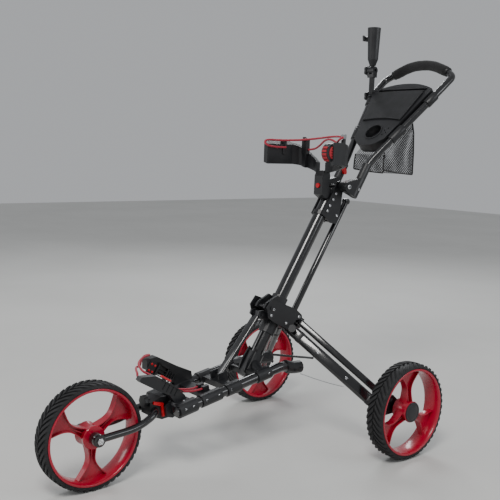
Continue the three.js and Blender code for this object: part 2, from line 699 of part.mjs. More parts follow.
// Spreads an arm that was drawn flat: it rises and grows taller the further out it is.
function fanOut(geometry) {
  const place = geometry.attributes.position;
  for (let i = 0; i < place.count; i++) {
    const out = Math.abs(place.getX(i));
    place.setZ(i, 48 + 0.27 * out + place.getZ(i) * (0.86 + 0.0121 * out));
  }
  geometry.computeVertexNormals();
  return geometry;
}

// One arm: a band that sweeps out from the stem. The right one ends in a long block and has
// the cord's guide, and the left one ends in a padded disc and the cord's post.
function cradleArmGeometry(side) {
  const plan = new THREE.Shape([
    [17.5, -8], [40, 0], [70, 0], [92, -12], [101, -34], [102, -70], [112, -70], [112, -28],
    [101, -2], [76, 11], [38, 11], [17.5, 6],
  ].map(([x, y]) => new THREE.Vector2(side * x, y)));
  const band = new THREE.ExtrudeGeometry(plan, { depth: 28, bevelEnabled: false });
  if (side < 0) {
    const block = box(16, 100, 28, v3(-108, -80, 14));
    const guide = box(14, 14, 48, v3(-72, -4, 24));
    return fanOut(join(band, block, guide));
  }
  const post = box(9, 9, 34, v3(107, -28, 17));
  return join(fanOut(join(band, post)), rodX(80, 104, -60, 112, 27, 14));
}

part(cradleFrame, 'upper_cradle_stem', cradleStemGeometry(), blackPlastic);
part(cradleFrame, 'cradle_release_button', rodY(-19, -12, 0, 16, 7, 14), redPlastic);
for (const [name, side] of Object.entries(sides)) {
  part(cradleFrame, `upper_cradle_arm_${name}`, cradleArmGeometry(side), blackPlastic);
}

// ---------------------------------------------------------------- handle


// Corners of the handle's bent tube, in the frame of its arms: X across, Z along the arms.
function handlePath() {
  const footLean = radians(armLean - mastLean);
  const reach = elbowLength - 14;
  const foot = v3(armFootX, Math.sin(footLean) * reach, -Math.cos(footLean) * reach);
  const shoulderPoint = v3(armFootX, 0, 0);
  const top = v3(armFootX + armSpread, 0, armLength);
  const corner = v3(armFootX + armSpread + 4, 10, armLength + 74);
  const gripEnd = v3(gripHalfLength - 2, 8, armLength + 94);
  const crown = v3(40, -7, armLength + crownRise - 3);
  const oneSide = [foot, shoulderPoint, top, corner, gripEnd, crown];
  const otherSide = oneSide.map((point) => v3(-point.x, point.y, point.z)).reverse();
  return new BentPath([...oneSide, ...otherSide], 34, 2);
}

const armTubeSeat = () => sweep(handlePath(), handleTubeRadius + gap, 12);

function elbowGeometry(side) {
  const [x0, x1] = spanX(side, elbowInner, elbowOuter);
  const boss = rodX(x0, x1, 0, 0, 15, 18);
  const socket = rodZ(-8, armFootAlong - 4, side * armFootX, elbowSetback, handleTubeRadius + 3, 18);
  const web = plateYZ([[-13, -6], [-6, 14], [34, 52], [44, 50], [44, -8], [4, -15]], x0 + 3, x1 - 3);
  const screw = rodX(side * (elbowOuter - 1), side * (elbowOuter + 2), 41, 16, 4, 6);
  const shaftBore = rodX(-70, 70, 0, 0, 5 + gap, 12);
  const tubeRoom = moved(armTubeSeat(), armFrame, hingeFrame);
  return join(cut(join(boss, socket, web), shaftBore, tubeRoom), screw);
}

part(armFrame, 'handle_tube', sweep(handlePath(), handleTubeRadius, 12), blackPaint);
for (const [name, side] of Object.entries(sides)) {
  part(hingeFrame, `elbow_${name}`, elbowGeometry(side), blackPlastic);
}

const leverX = -elbowInner + gap;
part(hingeFrame, 'handle_lock_lever', join(
  rodX(leverX, leverX + 7, 42, 72, 6, 12),
  plateYZ([[48, 70], [40, 66], [14, 84], [2, 97], [8, 102], [24, 92], [44, 79]], leverX, leverX + 7),
), redPlastic);

function gripGeometry() {
  const whole = sweep(handlePath(), gripRadius, 12);
  const inner = armTubeSeat();
  const room = box(2 * gripHalfLength, 80, 70, v3(0, 0, armLength + crownRise - 14));
  return toGeometry(toSolid(whole).intersect(toSolid(room)).subtract(toSolid(inner)));
}

part(armFrame, 'handle_grip', gripGeometry(), gripFoam);

// ---------------------------------------------------------------- console, lid and net

const consoleFront = -16;
const consoleBack = 16;
const consoleFoot = 64;
const consoleTop = 334;
const sideRoom = handleTubeRadius + 1.5;
const armX = (along) => armFootX + armSpread * along / armLength;
const lidFoot = 176;
const lidTop = 304;
const clampAlong = 296;             // the umbrella clamp's place on the right arm

// A flat piece drawn across the arms' plane as [x, along] points, between two depths.
function plateXZ(outline, y0, y1) {
  const shape = new THREE.Shape(outline.map(([x, z]) => new THREE.Vector2(x, z)));
  const geometry = new THREE.ExtrudeGeometry(shape, { depth: y1 - y0, bevelEnabled: false });
  return geometry.rotateX(Math.PI / 2).translate(0, y1, 0);
}

const mirrored = (points) => [...points, ...points.map(([x, z]) => [-x, z]).reverse()];

function consoleOutline(inset = 0) {
  const edge = (along) => [armX(along) - sideRoom - inset, along];
  const crown = [0.75, 0.5, 0.25].map((share) => [
    share * (armX(lidTop) - sideRoom), consoleTop - inset - 30 * share ** 2,
  ]);
  return mirrored([[44, consoleFoot + inset], edge(consoleFoot + 30), edge(lidTop - 4), ...crown]);
}

const cupX = 0;
const cupAlong = 120;
const cupRadius = 27;

function consoleGeometry() {
  const shell = plateXZ(consoleOutline(), consoleFront, consoleBack);
  const lidRoom = plateXZ(mirrored([
    [armX(lidFoot) - sideRoom - 9, lidFoot - 10], [armX(lidTop) - sideRoom - 16, lidTop],
  ]), consoleFront - 1, consoleBack - 4);
  const cup = rodY(consoleFront - 1, consoleBack - 5, cupX, cupAlong, cupRadius, 24);
  const cupFloorHole = rodY(consoleFront - 1, consoleBack + 1, cupX, cupAlong, cupRadius * 0.62, 6);
  const teeHoles = [0, 1, 2, 3].map((i) => (
    rodY(consoleFront - 1, consoleBack - 8, 42 + 9 * (i % 2), 108 + 9 * i, 2.6, 8)));
  const hingeBar = rodX(-34, 34, consoleFront + 4, lidTop - 6, 3, 12);
  const hingePosts = [1, -1].map((side) => box(5, 28, 10, v3(side * 34, consoleFront + 15, lidTop - 6)));
  const lugs = [1, -1].flatMap((side) => [130, 270].map((along) => box(
    sideRoom + 4, 14, along > 200 ? 40 : 46,
    v3(side * (armX(along) - sideRoom / 2), consoleFront + 2, along))));
  const armRoom = armTubeSeat();
  const [roomLow, roomHigh] = [clampAlong - 17, clampAlong + 17];
  const clampRoom = rod(v3(-armX(roomLow), 0, roomLow), v3(-armX(roomHigh), 0, roomHigh),
    handleTubeRadius + 7, 16);
  const open = cut(shell, lidRoom, cup, cupFloorHole, ...teeHoles);
  return cut(join(open, hingeBar, ...hingePosts, ...lugs), armRoom, clampRoom);
}

part(armFrame, 'console', consoleGeometry(), blackPlastic);

function lidGeometry() {
  const inset = 1;
  const panel = plateXZ(mirrored([
    [armX(lidFoot) - sideRoom - 10, lidFoot - 10 + inset], [armX(lidTop - 12) - sideRoom - 17, lidTop - 12],
  ]), consoleFront - 2, consoleFront + 3);
  const knuckle = rodX(-26, 26, consoleFront + 4, lidTop - 6, 5.5, 14);
  const tongue = box(52, 4, 10, v3(0, consoleFront + 1, lidTop - 14));
  const bore = rodX(-30, 30, consoleFront + 4, lidTop - 6, 3 + gap, 12);
  return cut(join(panel, tongue, knuckle), bore);
}

part(armFrame, 'console_lid', lidGeometry(), blackPlastic);

// Net bag under the console: a thin-walled pocket, open at the top.
const netFrame = frameAt(armFrame, 0, consoleBack + 3, 70, armLean);

function netGeometry() {
  const side = [[-2, -8], [118, 98], [124, 92], [132, -70], [-8, -56]];
  const outer = plateYZ(side, -62, 62);
  const inner = plateYZ([[1, -9], [115, 96], [121, 90], [129, -67], [-5, -53]], -59.5, 59.5);
  const mouth = plateYZ([[-2, -6], [118, 100], [100, 130], [-30, 10]], -59.5, 59.5);
  return cut(outer, inner, mouth);
}

part(netFrame, 'net_bag', netGeometry(), netMesh);

// ---------------------------------------------------------------- umbrella holder

const clampX = -armX(clampAlong);
const holderFrame = frameAt(armFrame, clampX, 0, clampAlong, armLean);
const tiltHeight = 85;
const tiltY = -8;

function umbrellaClampGeometry() {
  const along = v3(-armSpread, 0, armLength).normalize().applyAxisAngle(v3(1, 0, 0), -radians(armLean));
  const [blockFoot, blockHead] = [-14, 14].map((reach) => along.clone().multiplyScalar(reach));
  const block = rod(blockFoot, blockHead, handleTubeRadius + 6, 16);
  const neck = rodZ(8, tiltHeight - 12, 0, tiltY, 9, 12);
  const fork = [1, -1].map((side) => rodX(side * 6, side * 13, tiltY, tiltHeight, 12, 14));
  const shoulders = box(26, 18, 10, v3(0, tiltY, tiltHeight - 18));
  const cheeks = [1, -1].map((side) => box(7, 18, 16, v3(side * 9.5, tiltY, tiltHeight - 8)));
  const seat = moved(armTubeSeat(), armFrame, holderFrame);
  const bore = rodX(-30, 30, tiltY, tiltHeight, 4 + gap, 12);
  const knobBore = rodX(-40, -handleTubeRadius, 0, 3, 3.5 + gap, 10);
  return cut(join(cut(join(block, neck, shoulders), seat), ...fork, ...cheeks), bore, knobBore);
}

part(holderFrame, 'umbrella_clamp', umbrellaClampGeometry(), blackPlastic);

const socketTop = 221;
const socketBore = 15.5;

function umbrellaSocketGeometry() {
  const body = rodZ(34, socketTop - tiltHeight, 0, 0, 17, 16, 21.5);
  const cone = rodZ(14, 35, 0, 0, 9, 16, 17);
  const eye = rodX(-6 + gap, 6 - gap, 0, 0, 11.5, 14);
  const neck = rodZ(2, 20, 0, 0, 5.5, 12);
  const bore = rodZ(42, socketTop, 0, 0, socketBore, 16);
  const tiltBore = rodX(-10, 10, 0, 0, 4 + gap, 12);
  const screwBore = rodX(-40, 0, 0, 106, 3 + gap, 10);
  return cut(join(body, cone, eye, neck), bore, tiltBore, screwBore);
}

const tiltFrame = frameAt(holderFrame, 0, tiltY, tiltHeight);
part(tiltFrame, 'umbrella_socket', umbrellaSocketGeometry(), blackPlastic);

const knobGeometry = (x, y, z, reach, radius, stem) => join(
  rodX(x - 13, x, y, z, radius, 16),
  rodX(x - 1, x + reach, y, z, stem, 10),
);

part(holderFrame, 'tilt_knob', knobGeometry(-14, tiltY, tiltHeight, 27, 15, 4), blackPlastic);
part(holderFrame, 'clamp_knob', knobGeometry(-handleTubeRadius - 10.5, 0, 3, 9, 13.5, 3.5), blackPlastic);
part(tiltFrame, 'umbrella_wing_screw', join(
  rodX(-34, -16.5, 0, 106, 3, 10),
  plateYZ([[-10, 96], [10, 96], [12, 114], [3, 110], [-3, 110], [-12, 114]], -40, -33),
), blackPlastic);

// ---------------------------------------------------------------- rear hub brackets

const hubPlate = [-tyreHalfWidth - 10, -tyreHalfWidth - 3];      // across X, from the wheel's middle

function hubBracketGeometry(layout, hub) {
  const side = layout.side;
  const plate = plateYZ([
    [-70, -4], [-67, 14], [-36, 38], [-18, 38], [13, 12], [15, -6], [5, -14], [-52, -15],
  ], ...spanX(side, hubPlate[0], hubPlate[1]));
  const boss = rodX(side * (hubPlate[0] - 6), side * hubPlate[1], 0, 0, 13, 16);
  const out = layout.out;
  const legPin = rodX(...spanX(out, -legThick / 2 - 2, 34), 0, layout.length, pinRadius, 10);
  const legBoss = rodX(...spanX(out, legThick / 2 + 0.8, 32), 0, layout.length, 10, 12);
  const rodMiddle = linkOffset;
  const rodPin = rodX(...spanX(out, rodMiddle - 8, rodMiddle + 44), linkPitch, layout.length, pinRadius, 10);
  const bossReach = spanX(out, rodMiddle + rodThick / 2 + 0.8, rodMiddle + 42);
  const rodBoss = rodX(...bossReach, linkPitch, layout.length, 7.5, 10);
  const pins = [legPin, legBoss, rodPin, rodBoss].map((piece) => moved(piece, layout.group, hub));
  const axle = rodX(...spanX(side, hubPlate[0], hubHalfWidth - 1), 0, 0, axleRadius, 12);
  return join(plate, boss, ...pins, axle);
}

for (const [name, layout] of Object.entries(legs)) {
  const side = layout.side;
  const hub = frameAt(trolley, side * track / 2, 0, wheelRadius);
  part(hub, `hub_bracket_${name}`, hubBracketGeometry(layout, hub), blackPlastic);
}

// ---------------------------------------------------------------- lower bag cradle

part(baseFrame, 'lower_cradle_arm_left', plateYZ([
  [-369, 110], [-362, 117], [-321, 106], [-277, 67], [-246, 28], [-244, castingTop + gap],
  [-279, castingTop + gap], [-290, 42], [-322, 66], [-364, 102],
], 30, 50), blackPlastic);

function rightCradleArmGeometry() {
  const arm = plateYZ([
    [-150, 10], [-205, 10], [-217, 34], [-287, 84], [-282, 112], [-250, 110], [-190, 62], [-150, 34],
  ], -78, -54);
  return cut(arm, rodY(-214, -146, -half, 0, collarRadius + gap, 16));
}

part(baseFrame, 'lower_cradle_arm_right', rightCradleArmGeometry(), blackPlastic);

// ---------------------------------------------------------------- stay rod, tether and cords

const stayStart = v3(40, baseY + 52, baseZ + 45);
const stayEnd = legs.left.group.localToWorld(v3(0, -headReach - 2.5, legs.left.length * 0.3));
part(trolley, 'stay_rod', rod(stayStart, stayEnd, 3.2, 10), blackPaint);

// Elastic cord of the lower cradle. It leaves the cord bridge, runs up inside the left arm,
// loops over to the right arm's tip and comes back the same way. Points are in the base's frame.
const lowerCordPoints = [
  [20, -185.6, 20], [22, -205, 22], [24.5, -232, 31], [25.8, -258, 43], [25, -284, 66], [24.5, -308, 89],
  [21, -322, 103], [8, -331, 111], [-14, -328, 116], [-38, -316, 119], [-56, -292, 121], [-66, -266, 118],
  [-70, -279, 118], [-67, -292, 110], [-54, -306, 104], [-32, -328, 112], [-8, -343, 116], [12, -352, 116],
  [22, -357, 110], [25.2, -345, 98], [25.8, -322, 77], [25, -300, 58], [25, -282, 44], [24.5, -262, 35],
  [26, -240, 28], [36, -214, 22], [42, -185.6, 20],
];
part(baseFrame, 'lower_cord', cord(lowerCordPoints, cordDiameter, 46), redCord);

// Elastic cord of the upper cradle. It starts inside the right arm's block, goes round the
// block's front end, through the guide and over the left arm's post, and comes back to the
// guide. Points are in the cradle's frame.
const upperCordPoints = [
  [-96.2, -62, 124], [-96.2, -84, 124], [-96.2, -108, 125], [-95.2, -126, 127], [-98.5, -135.8, 131],
  [-105, -136.5, 137], [-106, -130, 143.4], [-104.5, -112, 145], [-102, -90, 144.6], [-95, -62, 145],
  [-87, -38, 146], [-80, -21, 147], [-70, -15.6, 148], [-56, -14.5, 149], [-32, -12, 151], [0, -11, 154],
  [34, -13, 157], [62, -15.5, 158.5], [86, -18, 158], [101, -23, 156.5], [109, -30.5, 156],
  [108, -39, 153], [101, -41.5, 147], [90, -35, 142], [76, -28, 143], [60, -26, 148], [44, -25, 150],
  [20, -18, 145], [-8, -7, 133], [-34, -1, 123], [-61, -2, 119],
];
part(cradleFrame, 'upper_cord', cord(upperCordPoints, cordDiameter, 54), redCord);

// Steel tether from the left end cap to the left leg. Points are in the trolley's frame.
const tetherPoints = [
  [72, -177, 208], [84, -171.5, 206], [98, -164.5, 203], [112, -157.5, 200], [126, -150.5, 197.3],
  [140, -143.5, 195], [154, -136.5, 193], [168, -129.5, 191.3], [180, -123.5, 190.2], [190, -118.5, 189.5],
];
part(trolley, 'leg_tether', cord(tetherPoints, 2.4, 12), steel);

// The trolley's origin is under the middle of its outline.
const outline = new THREE.Box3().setFromObject(trolley);
trolley.position.y = -(outline.min.y + outline.max.y) / 2;

export default trolley;
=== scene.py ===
"""Golf push trolley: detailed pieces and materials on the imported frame."""
import json
import math

import bmesh
import bpy
from mathutils import Matrix, Vector
from mathutils.geometry import tessellate_polygon


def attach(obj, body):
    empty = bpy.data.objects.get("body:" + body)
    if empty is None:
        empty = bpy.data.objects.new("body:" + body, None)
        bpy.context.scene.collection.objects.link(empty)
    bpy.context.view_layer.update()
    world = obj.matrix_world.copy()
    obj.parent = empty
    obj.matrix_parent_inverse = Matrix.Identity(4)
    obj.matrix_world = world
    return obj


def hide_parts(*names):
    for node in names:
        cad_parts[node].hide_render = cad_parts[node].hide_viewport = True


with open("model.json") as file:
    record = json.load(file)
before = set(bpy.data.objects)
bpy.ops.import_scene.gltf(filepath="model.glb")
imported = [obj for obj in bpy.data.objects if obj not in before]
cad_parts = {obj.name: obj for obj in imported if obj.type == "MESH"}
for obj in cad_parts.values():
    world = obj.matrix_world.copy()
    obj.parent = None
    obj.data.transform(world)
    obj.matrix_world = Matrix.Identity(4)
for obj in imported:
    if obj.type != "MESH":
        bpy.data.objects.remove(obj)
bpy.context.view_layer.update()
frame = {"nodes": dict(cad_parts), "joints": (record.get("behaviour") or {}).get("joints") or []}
joints = {joint["name"]: joint for joint in frame["joints"]}

MM = 0.001
GAP = 0.3


def joint_point(name):
    return Vector(joints[name]["pos_m"])


# ---------------------------------------------------------------- frames, in millimetres

def turned_x(degrees):
    return Matrix.Rotation(math.radians(degrees), 4, "X")


def at(matrix, x, y, z, tilt=0.0):
    return matrix @ Matrix.Translation((x, y, z)) @ turned_x(tilt)


def frame_at(point, tilt=0.0):
    return Matrix.Translation(point) @ Matrix.Scale(MM, 4) @ turned_x(tilt)


MAST_LEAN = 32.0
ARM_LEAN = 43.0
MAST_TOP = 617.0
rear_axle = joint_point("left_wheel_spin")
ground = frame_at(Vector((0.0, rear_axle.y, 0.0)))
hinge_frame = frame_at(joint_point("handle_fold"), -MAST_LEAN)
mast_frame = at(hinge_frame, 0, 0, -MAST_TOP)
arm_frame = at(hinge_frame, 0, 42, 106, MAST_LEAN - ARM_LEAN)
base_frame = at(ground, 0, -315, 224.6, 10.5)
fork_frame = frame_at(joint_point("fork_fold"))
cradle_frame = at(mast_frame, 0, -35, 578, MAST_LEAN)
tilt_frame = frame_at(joint_point("umbrella_tilt"))
holder_frame = at(tilt_frame, 0, 8, -85)


# ---------------------------------------------------------------- materials

def node_material(name):
    material = bpy.data.materials.new(name)
    material.use_nodes = True
    tree = material.node_tree
    shader = tree.nodes["Principled BSDF"]
    return material, tree, shader


def noise(tree, scale, detail=4.0):
    place = tree.nodes.new("ShaderNodeTexCoord")
    texture = tree.nodes.new("ShaderNodeTexNoise")
    texture.inputs["Scale"].default_value = scale
    texture.inputs["Detail"].default_value = detail
    tree.links.new(place.outputs["Object"], texture.inputs["Vector"])
    return texture.outputs["Fac"]


def ramp(tree, source, low, high, start=0.35, end=0.65):
    node = tree.nodes.new("ShaderNodeMapRange")
    node.inputs["From Min"].default_value = start
    node.inputs["From Max"].default_value = end
    node.inputs["To Min"].default_value = low
    node.inputs["To Max"].default_value = high
    tree.links.new(source, node.inputs["Value"])
    return node.outputs["Result"]


def colour_mix(tree, source, first, second, start=0.35, end=0.65):
    node = tree.nodes.new("ShaderNodeMix")
    node.data_type = "RGBA"
    node.inputs[6].default_value = (*first, 1.0)
    node.inputs[7].default_value = (*second, 1.0)
    tree.links.new(ramp(tree, source, 0.0, 1.0, start, end), node.inputs["Factor"])
    return node.outputs[2]


def bump(tree, shader, source, strength, distance):
    node = tree.nodes.new("ShaderNodeBump")
    node.inputs["Strength"].default_value = strength
    node.inputs["Distance"].default_value = distance
    tree.links.new(source, node.inputs["Height"])
    tree.links.new(node.outputs["Normal"], shader.inputs["Normal"])


def surface(name, dark, light, rough, grain, grain_depth, blotch=9.0, coat=0.0, metal=0.0, sheen=0.0):
    """A procedural finish: blotchy colour, roughness that varies with it, and a fine grain."""
    material, tree, shader = node_material(name)
    patches = noise(tree, blotch, 5.0)
    tree.links.new(colour_mix(tree, patches, dark, light), shader.inputs["Base Color"])
    tree.links.new(ramp(tree, noise(tree, blotch * 4.3), rough[0], rough[1]), shader.inputs["Roughness"])
    bump(tree, shader, noise(tree, grain, 3.0), 0.35, grain_depth)
    shader.inputs["Metallic"].default_value = metal
    shader.inputs["Coat Weight"].default_value = coat
    shader.inputs["Coat Roughness"].default_value = 0.06
    shader.inputs["Sheen Weight"].default_value = sheen
    return material


black_paint = surface(
    "black_paint", (0.004, 0.004, 0.005), (0.008, 0.008, 0.0095), (0.16, 0.24), 260, 0.000006, coat=0.6)
black_plastic = surface(
    "black_plastic", (0.006, 0.0063, 0.0072), (0.011, 0.0115, 0.013), (0.4, 0.52), 1500, 0.00012)
satin_plastic = surface(
    "satin_plastic", (0.007, 0.0072, 0.0085), (0.013, 0.0135, 0.0155), (0.34, 0.46), 1100, 0.0001)
red_plastic = surface(
    "red_plastic", (0.33, 0.001, 0.018), (0.42, 0.003, 0.028), (0.22, 0.32), 900, 0.00004, coat=0.25)
red_lever = surface(
    "red_lever", (0.44, 0.002, 0.008), (0.56, 0.004, 0.012), (0.24, 0.34), 900, 0.00004, coat=0.2)
tyre_rubber = surface(
    "tyre_rubber", (0.0075, 0.0075, 0.0085), (0.016, 0.016, 0.0175), (0.62, 0.8), 1300, 0.0002)
grip_foam = surface(
    "grip_foam", (0.006, 0.006, 0.0065), (0.013, 0.013, 0.014), (0.88, 0.97), 1700, 0.0004, sheen=0.15)
red_rubber = surface(
    "red_rubber", (0.30, 0.012, 0.02), (0.40, 0.02, 0.03), (0.6, 0.72), 1300, 0.0002)
bolt_steel = surface(
    "bolt_steel", (0.56, 0.57, 0.59), (0.7, 0.71, 0.73), (0.18, 0.3), 700, 0.00003, metal=1.0)
zinc_steel = surface(
    "zinc_steel", (0.4, 0.41, 0.42), (0.55, 0.56, 0.58), (0.28, 0.4), 600, 0.00005, metal=1.0)
grey_plastic = surface(
    "grey_plastic", (0.16, 0.17, 0.18), (0.22, 0.23, 0.24), (0.35, 0.45), 1200, 0.0001)


def crossed_strands(tree, slant, scale, operation):
    """Two sets of stripes on the UVs, slanted opposite ways, joined by an operation."""
    place = tree.nodes.new("ShaderNodeTexCoord")
    both = tree.nodes.new("ShaderNodeMath")
    both.operation = operation
    for k, turn in enumerate((slant, -slant)):
        mapping = tree.nodes.new("ShaderNodeMapping")
        mapping.inputs["Rotation"].default_value = (0, 0, math.radians(turn))
        tree.links.new(place.outputs["UV"], mapping.inputs["Vector"])
        wave = tree.nodes.new("ShaderNodeTexWave")
        wave.inputs["Scale"].default_value = scale
        tree.links.new(mapping.outputs["Vector"], wave.inputs["Vector"])
        tree.links.new(wave.outputs["Fac"], both.inputs[k])
    return both.outputs[0]


def braided_cord():
    """Woven sheath: two sets of strands that cross."""
    material, tree, shader = node_material("red_braid")
    weave = crossed_strands(tree, 32, 2.6, "MULTIPLY")
    colour = colour_mix(tree, weave, (0.24, 0.002, 0.018), (0.56, 0.006, 0.04), 0.0, 0.5)
    tree.links.new(colour, shader.inputs["Base Color"])
    bump(tree, shader, weave, 0.5, 0.0004)
    shader.inputs["Roughness"].default_value = 0.55
    shader.inputs["Sheen Weight"].default_value = 0.2
    return material


def diamond_net():
    """Open diamond mesh: strands where either set of lines runs, nothing between them."""
    material, tree, shader = node_material("net")
    strands = crossed_strands(tree, 45, 5.2, "MAXIMUM")
    cut = tree.nodes.new("ShaderNodeMath")
    cut.operation = "GREATER_THAN"
    cut.inputs[1].default_value = 0.8
    tree.links.new(strands, cut.inputs[0])
    tree.links.new(cut.outputs[0], shader.inputs["Alpha"])
    shader.inputs["Base Color"].default_value = (0.008, 0.008, 0.009, 1)
    shader.inputs["Roughness"].default_value = 0.8
    bump(tree, shader, strands, 0.4, 0.0004)
    return material


red_braid = braided_cord()
net_cloth = diamond_net()

# A finish is the slot a piece goes in and the material it shows.
PAINT = ("painted_black", black_paint)
BLACK = ("black_plastic", black_plastic)
SATIN = ("black_plastic", satin_plastic)
RED = ("red_plastic", red_plastic)
LEVER = ("red_plastic", red_lever)
PAD = ("red_plastic", red_rubber)
BOLT = ("steel", bolt_steel)


# ---------------------------------------------------------------- mesh helpers

def finish_mesh(name, bm, body, finish, matrix, replaces=(), bevel=0.0, angle=38):
    """Turns a bmesh drawn in a local frame into a piece that rides on a body."""
    slot, material = finish
    bm.transform(matrix)
    bmesh.ops.recalc_face_normals(bm, faces=bm.faces)
    mesh = bpy.data.meshes.new(name)
    bm.to_mesh(mesh)
    bm.free()
    piece = bpy.data.objects.new(name, mesh)
    bpy.context.collection.objects.link(piece)
    mesh.materials.append(material)
    mesh.shade_smooth()
    mesh.set_sharp_from_angle(angle=math.radians(angle))
    if bevel:
        edge = piece.modifiers.new("edges", "BEVEL")
        edge.width = bevel * MM
        edge.segments = 3
        edge.limit_method = "ANGLE"
        edge.angle_limit = math.radians(35)
        edge.harden_normals = True
    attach(piece, body)
    if replaces:
        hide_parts(*replaces)
    return piece


def rounded_path(corners, radius, steps=10):
    """Straight runs joined by round bends."""
    corners = [Vector(corner) for corner in corners]
    path = [corners[0]]
    for before, corner, after in zip(corners, corners[1:], corners[2:]):
        into, out = before - corner, after - corner
        reach = min(radius, into.length * 0.45, out.length * 0.45)
        first, last = corner + into.normalized() * reach, corner + out.normalized() * reach
        for i in range(steps + 1):
            t = i / steps
            path.append(first * (1 - t) ** 2 + corner * 2 * t * (1 - t) + last * t ** 2)
    return path + [corners[-1]]


def smooth_path(points, steps):
    """A smooth curve through every one of the points."""
    points = [Vector(point) for point in points]
    padded = [points[0] * 2 - points[1], *points, points[-1] * 2 - points[-2]]
    path = []
    for a, b, c, d in zip(padded, padded[1:], padded[2:], padded[3:]):
        for i in range(steps):
            t = i / steps
            path.append(0.5 * (2 * b + (c - a) * t + (2 * a - 5 * b + 4 * c - d) * t ** 2
                               + (3 * b - a - 3 * c + d) * t ** 3))
    return path + [points[-1]]


def circle(radius, sides):
    return [(radius * math.cos(2 * math.pi * i / sides), radius * math.sin(2 * math.pi * i / sides))
            for i in range(sides)]


def oval(wide, thick, sides):
    """A section with flat long sides and round ends: wide along the first axis."""
    flat = (wide - thick) / 2
    section = []
    for i in range(sides):
        turn = 2 * math.pi * (i + 0.5) / sides
        section.append((math.copysign(flat, math.cos(turn)) + thick / 2 * math.cos(turn),
                        thick / 2 * math.sin(turn)))
    return section


def sweep(bm, path, section, first_side=None, scales=None):
    """Carries a section along a path without twisting it. Its UVs are lengths in units of its girth."""
    side = Vector(first_side) if first_side else None
    rings = []
    uv = bm.loops.layers.uv.verify()
    along = [0.0]
    for a, b in zip(path, path[1:]):
        along.append(along[-1] + (b - a).length)
    for i, point in enumerate(path):
        tangent = (path[min(i + 1, len(path) - 1)] - path[max(i - 1, 0)]).normalized()
        if side is None:
            side = tangent.orthogonal()
        side = (side - tangent * side.dot(tangent)).normalized()
        other = tangent.cross(side)
        scale = scales[i] if scales else 1.0
        rings.append([bm.verts.new(point + side * a * scale + other * b * scale) for a, b in section])
    count = len(section)
    girth = sum((Vector(section[i]) - Vector(section[i - 1])).length for i in range(count))
    for r, (ring, ahead) in enumerate(zip(rings, rings[1:])):
        for i in range(count):
            j = (i + 1) % count
            face = bm.faces.new((ring[i], ring[j], ahead[j], ahead[i]))
            places = ((i, r), (i + 1, r), (i + 1, r + 1), (i, r + 1))
            for loop, (u, v) in zip(face.loops, places):
                loop[uv].uv = (u / count * 6, along[v] / girth * 6)
    bm.faces.new(rings[0])
    bm.faces.new(rings[-1][::-1])


def lathe(bm, profile, sides, centre=(0, 0, 0), axis="X"):
    """Turns a closed or open profile of (along, radius) points about the X or Z axis."""
    rings = []
    for i in range(sides):
        turn = 2 * math.pi * i / sides
        ring = []
        for along, radius in profile:
            a, b = radius * math.cos(turn), radius * math.sin(turn)
            spot = (along, a, b) if axis == "X" else (a, b, along)
            ring.append(bm.verts.new(Vector(spot) + Vector(centre)))
        rings.append(ring)
    for i in range(sides):
        ring, ahead = rings[i], rings[(i + 1) % sides]
        for k in range(len(profile) - 1):
            bm.faces.new((ring[k], ring[k + 1], ahead[k + 1], ahead[k]))
    for end in (0, -1):
        if profile[end][1] > 0.01 and profile[0] != profile[-1]:
            bm.faces.new([ring[end] for ring in rings])
    bmesh.ops.remove_doubles(bm, verts=bm.verts, dist=0.001)


def prism(bm, outline, low, high):
    """A flat outline across X, given depth along it."""
    bottom = [bm.verts.new((low, a, b)) for a, b in outline]
    top = [bm.verts.new((high, a, b)) for a, b in outline]
    bm.faces.new(bottom)
    bm.faces.new(top[::-1])
    for i in range(len(outline)):
        j = (i + 1) % len(outline)
        bm.faces.new((bottom[i], bottom[j], top[j], top[i]))


def block(bm, width, depth, height, centre, matrix=None):
    corners = [Vector((x * width / 2, y * depth / 2, z * height / 2)) + Vector(centre)
               for x in (-1, 1) for y in (-1, 1) for z in (-1, 1)]
    if matrix:
        corners = [matrix @ corner for corner in corners]
    verts = [bm.verts.new(corner) for corner in corners]
    for face in ((0, 1, 3, 2), (4, 6, 7, 5), (0, 4, 5, 1), (2, 3, 7, 6), (0, 2, 6, 4), (1, 5, 7, 3)):
        bm.faces.new([verts[i] for i in face])


def join_rows(bm, rows):
    """Skins closed rows of points, with a cap at each end."""
    for row, ahead in zip(rows, rows[1:]):
        for i in range(len(row)):
            j = (i + 1) % len(row)
            bm.faces.new((row[i], row[j], ahead[j], ahead[i]))
    bm.faces.new(rows[0])
    bm.faces.new(rows[-1])


def lobed_body(bm, rings, radius, lobes, swell, place):
    """A knob with lobes; rings are (along, scale), and place turns (along, a, b) into a point."""
    sides = lobes * 12
    rows = []
    for along, scale in rings:
        row = []
        for i in range(sides):
            turn = 2 * math.pi * i / sides
            reach = radius * scale * (1 + swell * math.cos(lobes * turn))
            row.append(bm.verts.new(place(along, reach * math.cos(turn), reach * math.sin(turn))))
        rows.append(row)
    join_rows(bm, rows)


def bar(bm, start, end, radius, sides, end_radius=None, round_off=0.8):
    """A round bar with softened ends."""
    start, end = Vector(start), Vector(end)
    along = (end - start).normalized()
    last = radius if end_radius is None else end_radius
    soft = min(round_off, radius * 0.4, last * 0.4)
    path = [start, start + along * soft * 0.3, start + along * soft, end - along * soft,
            end - along * soft * 0.3, end]
    widths = [(radius - soft) / radius, (radius - soft * 0.3) / radius, 1.0, last / radius,
              (last - soft * 0.3) / radius, (last - soft) / radius]
    sweep(bm, path, circle(radius, sides), scales=widths)


